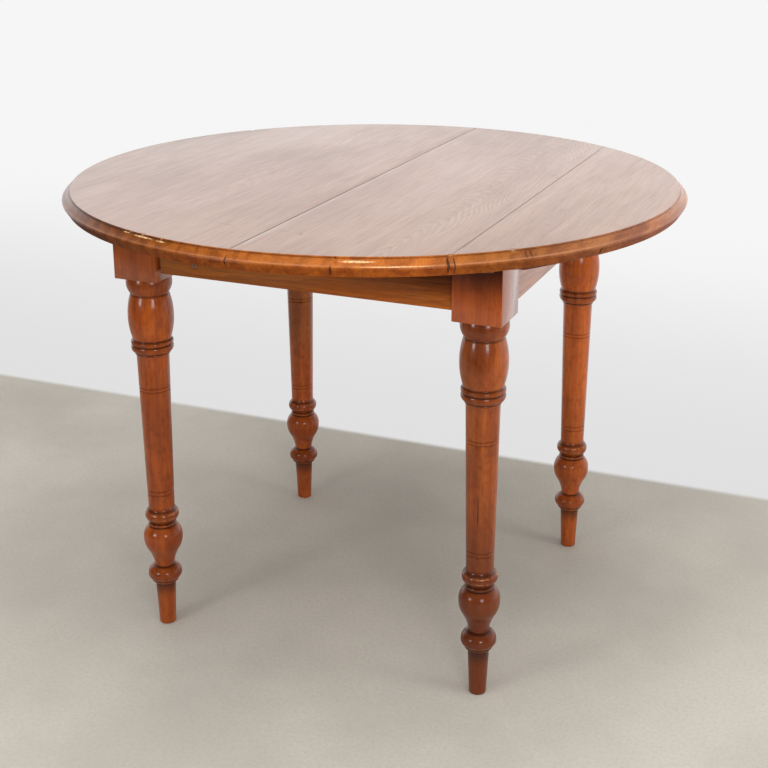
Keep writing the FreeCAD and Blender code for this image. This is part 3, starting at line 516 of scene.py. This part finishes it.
# Name, body, left and right plane, pith and lean of its log, ring width, strength of figure.
boards = [
    ("top_left", "left_half", None, -SAW_CUT, (0.20, 0, -0.67), 0.09, 0.0050, 0.35),
    ("top_right_inner", "right_half", SAW_CUT, GLUE_LINE[0],
     (-0.20, 0, -0.681), 0.12, 0.0038, 0.75),
    ("top_right_outer", "right_half", GLUE_LINE[1], None,
     (-0.40, 0, -0.696), -0.15, 0.0028, 0.32),
]
for name, body, left, right, pith, lean, ring, figured in boards:
    board = top_board(name + "_board", disc, left, right)
    board.data.materials.append(face_finish(name + "_face", pith, lean, ring, figured))
    board.data.materials.append(edge_finish(name + "_edge", pith, lean, ring, RUBBED_GLOSS))
    board.data.materials.append(raw_along_y)
    board.data.materials.append(edge_finish(name + "_undercut", pith, lean, ring, DULL_GLOSS))
    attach(board, body)
    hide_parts(name)


# ---- Runners, cleats, dowels and bearers ---------------------------------------
# Beech and pine under the top, cut square with a saw and a plane. The runners and cleats are
# screwed up into the boards and coloured a dark stain, so that where they show under the rim
# they pass for its shadow: painted shade. The rest was never stained.

def coat_nodes(material, names):
    """Gives every named node the one material."""
    for name in names:
        nodes[name].data.materials.clear()
        nodes[name].data.materials.append(material)


# Dark stain on the runners and cleats, also standing in as painted shadow under the rim.
stained = Timber("stain_and_shade_wood", "X", (0, 0.17, -0.60), (0.04, 0.03, 0.05),
                 ring=0.0060, wander=0.006)
stain_and_shade_colour = stained.figure(RIM_BROWN, RIM_DARK, GRIME_AND_SHADE,
                                rings=0.30, streaks=0.45, pores=0.30, patches=0.50)
coat_nodes(stained.polish(stain_and_shade_colour, 0.50, 0.66, relief=0.30), [
    "runner_left_front", "runner_left_back", "runner_right_front", "runner_right_back",
    "cleat_left_front", "cleat_left_back", "cleat_right_front", "cleat_right_back",
])
coat_nodes(raw_finish("raw_wood_along_x", "X", (0, 0.13, -0.55)), [
    "rail_front", "rail_back", "seam_dowels",
    "brace_front_left", "brace_front_right", "brace_back_left", "brace_back_right",
])
coat_nodes(raw_along_y, ["leaf_bearer_left", "leaf_bearer_right", "leaf_dowels_lower",
                         "leaf_dowels_upper", "stop_pegs_left", "stop_pegs_right"])


# ---- Screws, table locks and hinges --------------------------------------------
# Blued steel wood screws, gone dull. The two locks under the saw cut and the leaf's
# hinges are brass, stamped from sheet, brown where fingers never reach.

BRASS = (0.62, 0.43, 0.17)
BRASS_BROWN = (0.24, 0.15, 0.06)
STEEL = (0.34, 0.33, 0.32)
STEEL_RUST = (0.12, 0.09, 0.07)


def metal_finish(name, bright, dull, rough):
    """Old metal, dull in patches, with fine scratches along X."""
    made = bpy.data.materials.new(name)
    made.use_nodes = True
    tree = made.node_tree
    tree.nodes.clear()
    place = add(tree, "TexCoord").outputs["Object"]
    patches = noise_at(tree, place, (1, 1, 1), 70.0, 5.0, 0.6)
    scratches = noise_at(tree, place, (0.15, 1, 1), 900.0, 2.0)
    stained = spread(tree, patches, 0.40, 0.66)
    colour = tint(tree, stained, bright, dull)
    gloss = sums(tree, "ADD", spread(tree, patches, 0.3, 0.7, rough, rough + 0.22),
                 sums(tree, "MULTIPLY", scratches, 0.08))
    bump = add(tree, "Bump", {"Strength": 0.2, "Distance": 0.0002, "Height": scratches})
    shader = add(tree, "BsdfPrincipled", {"Base Color": colour, "Roughness": gloss,
                                          "Metallic": 1.0, "Normal": bump.outputs[0]})
    out = add(tree, "OutputMaterial")
    tree.links.new(shader.outputs[0], out.inputs[0])
    return made


coat_nodes(metal_finish("old_brass", BRASS, BRASS_BROWN, 0.30), [
    "lock_plate_front", "lock_plate_back", "lock_keeper_front", "lock_keeper_back",
    "lock_lever_front", "lock_lever_back", "lock_screws_left", "lock_screws_right",
    "leaf_hinge_flaps_lower", "leaf_hinge_flaps_upper", "leaf_hinge_pins",
    "leaf_hinge_screws_lower", "leaf_hinge_screws_upper",
])
coat_nodes(metal_finish("dull_steel", STEEL, STEEL_RUST, 0.38),
           ["top_screws_left", "top_screws_right", "brace_screws"])


# ---- Butterfly leaf --------------------------------------------------------------
# Two boards of the same timber as the top, hinged face to face. Kept in the dark of the
# frame, they have held the deeper colour that the top had when it was new.

LEAF_PALE = (0.360, 0.130, 0.045)
LEAF_MIDDLE = (0.280, 0.092, 0.030)
LEAF_DARK = (0.130, 0.040, 0.014)

leaf_wood = Timber("leaf_wood", "X", (0, 0.05, -0.62), (0, 0.03, 0.05), ring=0.0060)
leaf_colour = leaf_wood.figure(LEAF_PALE, LEAF_MIDDLE, LEAF_DARK,
                               rings=0.45, streaks=0.50, pores=0.35)
coat_nodes(leaf_wood.polish(leaf_colour, 0.26, 0.36, relief=0.20), ["leaf_lower", "leaf_upper"])


# ---- Aprons ------------------------------------------------------------------------
# Four boards on edge, tenoned into the legs. The long ones run through unbroken; the
# front one has shrunk back from the left leg and shows a plug over an old screw.

APRON_PALE = (0.360, 0.104, 0.013)
APRON_MIDDLE = (0.215, 0.056, 0.008)
APRON_DARK = (0.075, 0.019, 0.004)
APRON_LOW = 0.643
APRON_HIGH = 0.7326
APRON_FACE_Y = 0.299
APRON_BACK_Y = 0.277
APRON_EASE = 0.0009
LEG_INNER_X = 0.247
TENON_END_X = 0.275
TENON_LOW = 0.653
TENON_HIGH = 0.7226
TENON_CHEEK = 0.006
# Gap at the left leg, the share of it that comes on top at the upper edge, and how much of
# the board's end is moved by it.
SHRINKAGE = 0.0050
GAP_FLARE = 0.8
MOVED_END = 0.010
# Gains of the painted light on the front towards the right, and of the painted shadow under the
# rim.
APRON_LIGHT_GAIN = (1.50, 1.35, 1.20)
RIM_SHADOW_GAIN = (0.13, 0.10, 0.10)
# Place of a pale streak painted on the front apron under the rim: a painted highlight.
APRON_HIGHLIGHT = (-0.037, -APRON_FACE_Y, 0.6692)
PLUG = (-0.181, -APRON_FACE_Y, 0.662)
PLUG_PALE = (0.520, 0.270, 0.190)
PLUG_MIDDLE = (0.420, 0.190, 0.120)


def block_shape(shape, low, high, ease=0.0):
    """Adds a closed block between two corners, its arrises eased, its faces flat within."""
    low, high = Vector(low), Vector(high)
    middle, size = (low + high) / 2, high - low
    made = bmesh.ops.create_cube(shape, size=1.0, matrix=Matrix.LocRotScale(middle, None, size))
    if ease:
        sides = list({f for v in made["verts"] for f in v.link_faces})
        edges = list({e for v in made["verts"] for e in v.link_edges})
        bmesh.ops.bevel(shape, geom=edges, offset=ease, offset_type="OFFSET", segments=2,
                        profile=0.5, affect="EDGES", material=-1)
        sides = [f for f in sides if f.is_valid]
        bmesh.ops.inset_individual(shape, faces=sides, thickness=0.003, use_even_offset=True)


def long_apron(name, side, left_gap):
    """A long apron with its two tenons, its left end drawn back by a gap."""
    shape = bmesh.new()
    ys = sorted((side * APRON_FACE_Y, side * APRON_BACK_Y))
    block_shape(shape, (left_gap - LEG_INNER_X, ys[0], APRON_LOW),
                (LEG_INNER_X, ys[1], APRON_HIGH), APRON_EASE)
    for v in shape.verts:
        if v.co.x < MOVED_END - LEG_INNER_X:
            v.co.x += left_gap * (v.co.z - APRON_LOW) / (APRON_HIGH - APRON_LOW) * GAP_FLARE
    block_shape(shape, (-TENON_END_X, ys[0] + TENON_CHEEK, TENON_LOW),
                (TENON_END_X, ys[1] - TENON_CHEEK, TENON_HIGH))
    return finish_piece(shape, name)


def rim_shadow_and_light(wood, colour, front, light_gain, low, high):
    """Painted light on the front towards the right, and painted shadow close under the rim."""
    tree = wood.tree
    x, y, height = add(tree, "SeparateXYZ", {0: wood.place}).outputs
    in_front = spread(tree, y, front + 0.0012, front + 0.0004)
    right = sums(tree, "MULTIPLY", spread(tree, x, -0.16, 0.21), in_front)
    colour = scaled(tree, right, colour, light_gain)
    rim_shadow = sums(tree, "MULTIPLY", spread(tree, height, low, high), right)
    return scaled(tree, rim_shadow, colour, RIM_SHADOW_GAIN)


def apron_finish(name, along, pith, lean, coat):
    """Stain and varnish of an apron, with the front one's plug, a painted highlight under its rim,
    and painted light and shadow.
    """
    wood = Timber(name, along, pith, lean, ring=0.0090, wander=0.014)
    tree = wood.tree
    colour = wood.figure(APRON_PALE, APRON_MIDDLE, APRON_DARK,
                         rings=0.45, streaks=0.45, pores=0.35, patches=0.45)
    # Painted highlight: a pale streak under the rim.
    highlight_streak = spot(tree, wood.place, APRON_HIGHLIGHT, (0.034, 0.004, 0.0012), (0, -0.10, 0))
    colour = tint(tree, spread(tree, highlight_streak, 0.1, 0.6, 0.0, 0.6), colour, FRESH_WOOD_AND_HIGHLIGHT)
    ring = spot(tree, wood.place, PLUG, (0.0070, 0.004, 0.0070))
    colour = tint(tree, spread(tree, ring, 0.10, 0.40, 0.0, 0.45), colour, GRIME_AND_SHADE)
    colour = wood.wax(colour, GRIME_AND_SHADE, FRESH_WOOD_AND_HIGHLIGHT, 0.5)
    # Painted light on the front's right part, and painted shadow close under the rim.
    colour = rim_shadow_and_light(wood, colour, -APRON_FACE_Y, APRON_LIGHT_GAIN, 0.640, 0.694)
    return wood.polish(colour, 0.34, 0.48, relief=0.25, coat=coat, coat_rough=0.26, shine=0.15)


apron_along_x = apron_finish("apron_wood_long", "X", (0, 0.24, -0.60), (0, 0, 0.05), 0.0)
apron_along_y = apron_finish("apron_wood_short", "Y", (-0.26, 0, -0.58), (0, 0, -0.04), 0.8)
for name, side, left_gap in (("apron_front", -1, SHRINKAGE), ("apron_back", 1, 0.0)):
    apron = long_apron(name + "_board", side, left_gap)
    apron.data.materials.append(apron_along_x)
    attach(apron, "base")
    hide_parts(name)
coat_nodes(apron_along_y, ["apron_left", "apron_right"])

plug_wood = Timber("plug_wood", "Z", (0.18, 0.29, -0.66), (0, 0, 0), ring=0.0016)
plug_colour = plug_wood.figure(PLUG_PALE, PLUG_MIDDLE, APRON_PALE,
                               rings=0.4, streaks=0.4, pores=0.3)
coat_nodes(plug_wood.polish(plug_colour, 0.40, 0.52, relief=0.30), ["apron_plug"])


# ---- Legs ----------------------------------------------------------------------------
# Each turned from one square post, stained red brown and varnished. Under the square head
# come a collar, a barrel, a double ring, a tapered shaft with pairs of incised lines, a
# flange, a bulb, an ankle ring and a tapered foot.

LEG_X = 0.2855
LEG_Y = 0.2665
HEAD = 0.077
HEAD_LOW = 0.6275
HEAD_HIGH = 0.7326
HEAD_EASE = 0.0013
LEG_STEPS = 96
# Height and radius at both ends of the shaft, its incised lines, and its levels between them.
SHAFT = ((0.4945, 0.0264), (0.2190, 0.0216))
LINES = [0.4390, 0.4330, 0.2535, 0.2460]
PLAIN_LEVELS = [0.470, 0.445, 0.4360, 0.427, 0.400, 0.365, 0.330, 0.295, 0.2600, 0.2498,
                0.240, 0.229]
# Where the legs are knocked: the rings, bulbs and shaft, and the thinner foot.
LEG_DENTS = 26
RING_R = 0.034
FOOT_R = 0.0175
FOOT_Z = 0.05
DENT_LEVELS = [0.616, 0.566, 0.5075, 0.5170, 0.206, 0.165, 0.0965, 0.30, 0.38, FOOT_Z]


def shaft_radius(z):
    """Radius of the tapered shaft at a height."""
    (top, wide), (bottom, narrow) = SHAFT
    return narrow + (wide - narrow) * (z - bottom) / (top - bottom)


def leg_outline():
    """Outline of the turning, from under the square head down to the floor."""
    steps = [
        (0.0, 0.6300), (0.0346, 0.6300), (0.0352, HEAD_LOW),
        ((0.0369, 0.6160), (0.0314, 0.6005), 14),
        ((0.0309, 0.5992), (0.0314, 0.5980), 4),
        ((0.0369, 0.5660), (0.0312, 0.5230), 30),
        ((0.0314, 0.5218), (0.0322, 0.5210), 3),
        ((0.0343, 0.5172), (0.0326, 0.5126), 8),
        ((0.0342, 0.5065), (0.0294, 0.4995), 10),
        (0.0284, 0.4992), (0.0281, 0.4985),
        ((0.0286, 0.4970), (0.0269, 0.4954), 5),
        (0.0265, 0.4945),
    ]
    points = profile(steps)
    for z in LINES:
        r = shaft_radius(z)
        points += [(r, z + 0.0016), (r - 0.0002, z + 0.0010), (r - 0.0010, z + 0.0003),
                   (r - 0.0010, z - 0.0003), (r - 0.0002, z - 0.0010), (r, z - 0.0016)]
    points += [(shaft_radius(z), z) for z in PLAIN_LEVELS]
    points.sort(key=lambda point: -point[1])
    lower = profile([
        (0.0216, 0.2190), (0.0234, 0.2165), (0.0260, 0.2133),
        ((0.0282, 0.2060), (0.0256, 0.1990), 10),
        ((0.0226, 0.1962), (0.0212, 0.1934), 5),
        ((0.0234, 0.1906), (0.0226, 0.1876), 6),
        ((0.0304, 0.1775), (0.0327, 0.1650), 12),
        ((0.0316, 0.1546), (0.0272, 0.1435), 10),
        ((0.0199, 0.1285), (0.0163, 0.1125), 10),
        (0.0163, 0.1116),
        ((0.0246, 0.1065), (0.0283, 0.0965), 9),
        ((0.0272, 0.0908), (0.0236, 0.0872), 6),
        (0.0226, 0.0864),
        ((0.0228, 0.0836), (0.0204, 0.0812), 5),
        (0.0172, 0.0802), (0.0154, 0.0415), (0.0138, 0.0040),
        ((0.0132, 0.0012), (0.0116, 0.0), 4),
        (0.0, 0.0),
    ])
    return points + lower


def leg_piece(name, x, y):
    """One leg: the dented turning and its square head."""
    shape = bmesh.new()
    turn(shape, leg_outline(), LEG_STEPS)
    dents = random.Random(name)
    marks = []
    for _ in range(LEG_DENTS):
        angle = dents.uniform(0, 2 * math.pi)
        out = Vector((math.cos(angle), math.sin(angle), 0))
        z = dents.choice(DENT_LEVELS)
        radius = FOOT_R if z == FOOT_Z else RING_R
        marks.append((out * radius + Vector((0, 0, z + dents.uniform(-0.006, 0.006))),
                      dents.uniform(0.004, 0.007), out * -dents.uniform(0.0002, 0.0006)))
    knock(shape, marks)
    half = HEAD / 2
    turned = set(shape.faces)
    block_shape(shape, (-half, -half, HEAD_LOW), (half, half, HEAD_HIGH), HEAD_EASE)
    for face in shape.faces:
        face.material_index = int(face not in turned)
    bmesh.ops.translate(shape, verts=shape.verts, vec=(x, y, 0))
    return finish_piece(shape, name, crease=40)


LEG_PALE = (0.390, 0.090, 0.012)
LEG_MIDDLE = (0.265, 0.053, 0.008)
LEG_DARK = (0.100, 0.019, 0.004)
LEG_WORN = (0.430, 0.170, 0.065)
WAX = (0.020, 0.007, 0.004)
HEAD_DUST = (0.20, 0.16, 0.13)
# Gains of the colour of the left legs, of the painted shade on the back left leg, of the painted
# light on the back right leg and of the mottled patches, and the gain of the painted light on
# the front of the right head.
LEFT_LEGS = (1.18, 1.08, 0.90)
BACK_LEFT_SHADE = (0.70, 0.86, 1.00)
BACK_RIGHT_LIGHT = (1.36, 1.30, 1.25)
MOTTLED = (0.76, 0.70, 0.72)
HEAD_LIGHT_GAIN = (1.75, 1.46, 1.00)
# A drying crack in the front right shaft, and the dusty corner of the front left head.
CRACK = (0.2885, -0.2895, 0.323)
DUSTY_CORNER = (-0.243, -0.282, 0.636)
# Heights of the turned grooves that hold dark wax, of the ring edges rubbed pale, and of
# the darker rings with their half heights.
GROOVES = [0.5990, 0.5220, 0.5126, 0.4988, 0.2165, 0.1938, 0.1878, 0.1117, 0.0866]
RUBBED = [0.2120, 0.2040, 0.0900]
DARK_RINGS = [(0.6150, 0.017), (0.5105, 0.015), (0.2050, 0.018), (0.0960, 0.018)]


def leg_finish(name, dark_below):
    """Stain and wax of the legs, with one foot darker, painted shade and light on the back legs,
    and the dust of years on one head.
    """
    wood = Timber(name, "Z", (0.05, 0.11, 0), (0.03, 0.04, 0),
                  ring=0.0090, wander=0.012, patch=16.0)
    tree = wood.tree
    colour = wood.figure(LEG_PALE, LEG_MIDDLE, LEG_DARK,
                         rings=0.25, streaks=0.25, pores=0.20, patches=0.45)
    x, y, height = add(tree, "SeparateXYZ", {0: wood.place}).outputs
    left, right = spread(tree, x, 0.1, -0.1), spread(tree, x, -0.1, 0.1)
    front, back = spread(tree, y, 0.1, -0.1), spread(tree, y, -0.1, 0.1)
    front_right = sums(tree, "MULTIPLY", front, right)
    shaded = sums(tree, "MULTIPLY", sums(tree, "MULTIPLY", back, left),
                  spread(tree, height, 0.25, 0.40))
    colour = scaled(tree, left, colour, LEFT_LEGS)
    # Painted shade on the back left leg's upper part, and painted light on the back right leg.
    colour = scaled(tree, shaded, colour, BACK_LEFT_SHADE)
    colour = scaled(tree, sums(tree, "MULTIPLY", back, right), colour, BACK_RIGHT_LIGHT)
    mottle = noise_at(tree, wood.place, (1, 1, 0.6), 110.0, 4.0, 0.6)
    colour = scaled(tree, spread(tree, mottle, 0.44, 0.70), colour, MOTTLED)
    low = sums(tree, "MULTIPLY", spread(tree, height, *dark_below),
               spread(tree, front_right, 0.0, 1.0, 0.22, 0.80))
    colour = tint(tree, low, colour, LEG_DARK)
    for level, half in DARK_RINGS:
        colour = tint(tree, band(tree, height, level, half, half * 0.6, 0.38), colour, LEG_DARK)
    grooves = rubbed = 0.0
    for level in GROOVES:
        grooves = sums(tree, "MAXIMUM", grooves, band(tree, height, level, 0.0030, 0.0005, 0.62))
    colour = tint(tree, grooves, colour, WAX)
    for level in RUBBED:
        rubbed = sums(tree, "MAXIMUM", rubbed, band(tree, height, level, 0.0016, 0.0003, 0.60))
    rubbed = sums(tree, "MULTIPLY", rubbed, spread(tree, mottle, 0.56, 0.44))
    colour = tint(tree, rubbed, colour, LEG_WORN)
    crack = spot(tree, wood.place, CRACK, (0.0012, 0.01, 0.034))
    colour = tint(tree, spread(tree, crack, 0.05, 0.5, 0.0, 0.85), colour, WAX)
    dusty = spot(tree, wood.place, DUSTY_CORNER, (0.016, 0.020, 0.016))
    colour = tint(tree, spread(tree, dusty, 0.1, 0.7, 0.0, 0.6), colour, HEAD_DUST)
    return wood, wood.wax(colour, WAX, LEG_WORN, 0.85)


turned_wood, turned_colour = leg_finish("leg_wood", (0.42, 0.10))
turned_finish = turned_wood.polish(turned_colour, 0.30, 0.40, relief=0.12, coat=0.45,
                                   coat_rough=0.16, shine=0.12)
head_wood, head_colour = leg_finish("leg_head_wood", (0.60, 0.50))
# The heads a little darker: partly a darker stain, partly painted shade under the top.
head_colour = tint(head_wood.tree, 0.20, head_colour, LEG_DARK)
# Painted light on the front of the right head, and painted shadow close under the rim.
head_colour = rim_shadow_and_light(head_wood, head_colour, -LEG_Y - HEAD / 2, HEAD_LIGHT_GAIN, 0.646, 0.712)
head_finish = head_wood.polish(head_colour, 0.30, 0.40, relief=0.12, coat=1.0,
                               coat_rough=0.13, shine=0.12)
for name, side_x, side_y in (("leg_front_left", -1, -1), ("leg_front_right", 1, -1),
                             ("leg_back_left", -1, 1), ("leg_back_right", 1, 1)):
    leg = leg_piece(name + "_turned", side_x * LEG_X, side_y * LEG_Y)
    leg.data.materials.append(turned_finish)
    leg.data.materials.append(head_finish)
    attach(leg, "base")
    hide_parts(name)


# ---- Floor and backdrop ----------------------------------------------------------------
# A plain pale floor of worn cement that runs up to a white sweep behind the table. In
# front of the table it lies in the dark for whatever the polish mirrors.

FLOOR_END = 0.612
FLOOR_REACH = 9.0
CEMENT = (0.495, 0.464, 0.408)
CEMENT_PALE = (0.600, 0.560, 0.492)
GRIT_GREY = (0.36, 0.33, 0.29)
NEAR_DARK = (0.03, 0.03, 0.03)

shape = bmesh.new()
bmesh.ops.create_grid(shape, x_segments=2, y_segments=2, size=FLOOR_REACH)
floor_mesh = bpy.data.meshes.new("floor")
shape.to_mesh(floor_mesh)
shape.free()
floor = bpy.data.objects.new("floor", floor_mesh)
bpy.context.scene.collection.objects.link(floor)

cement = bpy.data.materials.new("cement")
cement.use_nodes = True
tree = cement.node_tree
tree.nodes.clear()
place = add(tree, "TexCoord").outputs["Object"]
clouds = noise_at(tree, place, (1, 1, 1), 2.2, 6.0, 0.6)
grit = noise_at(tree, place, (1, 1, 1), 160.0, 3.0)
grey = tint(tree, spread(tree, clouds, 0.3, 0.7), CEMENT, CEMENT_PALE)
grey = tint(tree, spread(tree, grit, 0.35, 0.75, 0.0, 0.25), grey, GRIT_GREY)
across = add(tree, "SeparateXYZ", {0: place}).outputs[1]
rays = add(tree, "LightPath").outputs
unlit = sums(tree, "MULTIPLY", spread(tree, across, -1.0, -1.7, 0.0, 0.9), rays["Is Glossy Ray"])
grey = tint(tree, unlit, grey, NEAR_DARK)
floor_shader = add(tree, "BsdfPrincipled", {"Base Color": grey, "Roughness": 0.75,
                                            "Specular IOR Level": 0.25})
seen = sums(tree, "MAXIMUM", rays["Is Camera Ray"], rays["Is Glossy Ray"])
glow = spread(tree, across, FLOOR_END, FLOOR_END + 2.2, 0.75, 0.92)
mirror_gain = sums(tree, "ADD", 1.0, sums(tree, "MULTIPLY", rays["Is Glossy Ray"], 0.3))
glow = sums(tree, "MULTIPLY", glow, mirror_gain)
white = add(tree, "Emission", {0: (1.0, 1.0, 1.0, 1.0), 1: glow})
paper = add(tree, "BsdfDiffuse", {0: (0.80, 0.80, 0.80, 1.0)})
sweep = add(tree, "MixShader", {0: seen, 1: paper.outputs[0], 2: white.outputs[0]})
join = add(tree, "MixShader", {0: spread(tree, across, FLOOR_END - 0.012, FLOOR_END + 0.012),
                               1: floor_shader.outputs[0], 2: sweep.outputs[0]})
out = add(tree, "OutputMaterial")
tree.links.new(join.outputs[0], out.inputs[0])
floor.data.materials.append(cement)


# ---- Light and camera ----------------------------------------------------------------------
# A white room seen behind the table, one wide soft light overhead, one low on the right,
# and two small soft boxes in front, on either side, that put the twin highlights on the legs.

ROOM_WHITE = 0.92
ROOM_LIGHT = 0.54

world = bpy.data.worlds.new("white_room")
bpy.context.scene.world = world
world.use_nodes = True
tree = world.node_tree
tree.nodes.clear()
rays = add(tree, "LightPath").outputs
way = add(tree, "TexCoord").outputs["Generated"]
depth = add(tree, "SeparateXYZ", {0: way}).outputs[1]
mirrored = spread(tree, depth, -0.05, 0.40, 0.03, 1.0)
lift = add(tree, "SeparateXYZ", {0: way}).outputs[2]
mirrored = sums(tree, "MULTIPLY", mirrored, spread(tree, lift, 0.50, 0.20, 0.82, 1.42))
ambient = sums(tree, "ADD", sums(tree, "MULTIPLY", rays["Is Glossy Ray"], mirrored),
               sums(tree, "MULTIPLY", sums(tree, "SUBTRACT", 1.0, rays["Is Glossy Ray"]),
                    ROOM_LIGHT))
strength = add(tree, "Mix", {0: rays["Is Camera Ray"], 2: ambient, 3: ROOM_WHITE}).outputs[0]
light = add(tree, "Background", {0: (1.0, 1.0, 1.0, 1.0), 1: strength})
out = add(tree, "OutputWorld")
tree.links.new(light.outputs[0], out.inputs[0])


def soft_light(name, place, aim, size, watts, mirrored):
    """A square soft light, unseen itself, that polish mirrors only where that is wanted."""
    lamp = bpy.data.lights.new(name, "AREA")
    lamp.shape = "SQUARE"
    lamp.size = size
    lamp.energy = watts
    made = bpy.data.objects.new(name, lamp)
    bpy.context.scene.collection.objects.link(made)
    made.location = place
    made.rotation_euler = (Vector(aim) - Vector(place)).to_track_quat("-Z", "Y").to_euler()
    made.visible_camera = False
    made.visible_glossy = mirrored


soft_light("overhead", (0.2, -0.6, 3.2), (0, 0, 0.6), size=2.6, watts=58.0, mirrored=False)
soft_light("fill_right", (3.3, -0.1, 0.72), (0.2, 0, 0.38), size=1.2, watts=44.0,
           mirrored=False)
soft_light("box_right", (1.30, -1.75, 0.90), (0.1, -0.1, 0.50), size=0.42, watts=8.0,
           mirrored=True)
soft_light("box_left", (-0.95, -2.00, 0.90), (0, -0.1, 0.50), size=0.42, watts=8.0,
           mirrored=True)

CAMERA_PLACE = (0.8802, -2.0269, 1.2377)
CAMERA_YAW = -21.078
CAMERA_PITCH = 17.049
CAMERA_ROLL = 0.450

camera_lens = bpy.data.cameras.new("camera")
camera_lens.sensor_width = 36.0
camera_lens.lens = 62.744
camera_lens.shift_x = -0.0619
camera_lens.shift_y = -0.1222
camera_lens.clip_end = 60.0
camera = bpy.data.objects.new("camera", camera_lens)
bpy.context.scene.collection.objects.link(camera)
yaw, pitch, roll = (math.radians(a) for a in (CAMERA_YAW, CAMERA_PITCH, CAMERA_ROLL))
forward = Vector((math.sin(yaw) * math.cos(pitch), math.cos(yaw) * math.cos(pitch),
                  -math.sin(pitch)))
level_right = Vector((math.cos(yaw), -math.sin(yaw), 0))
level_up = level_right.cross(forward)
right = level_right * math.cos(roll) + level_up * math.sin(roll)
up = level_up * math.cos(roll) - level_right * math.sin(roll)
turned = Matrix((right, up, -forward)).transposed().to_4x4()
camera.matrix_world = Matrix.Translation(CAMERA_PLACE) @ turned
bpy.context.scene.camera = camera
bpy.context.scene.view_settings.view_transform = "Standard"
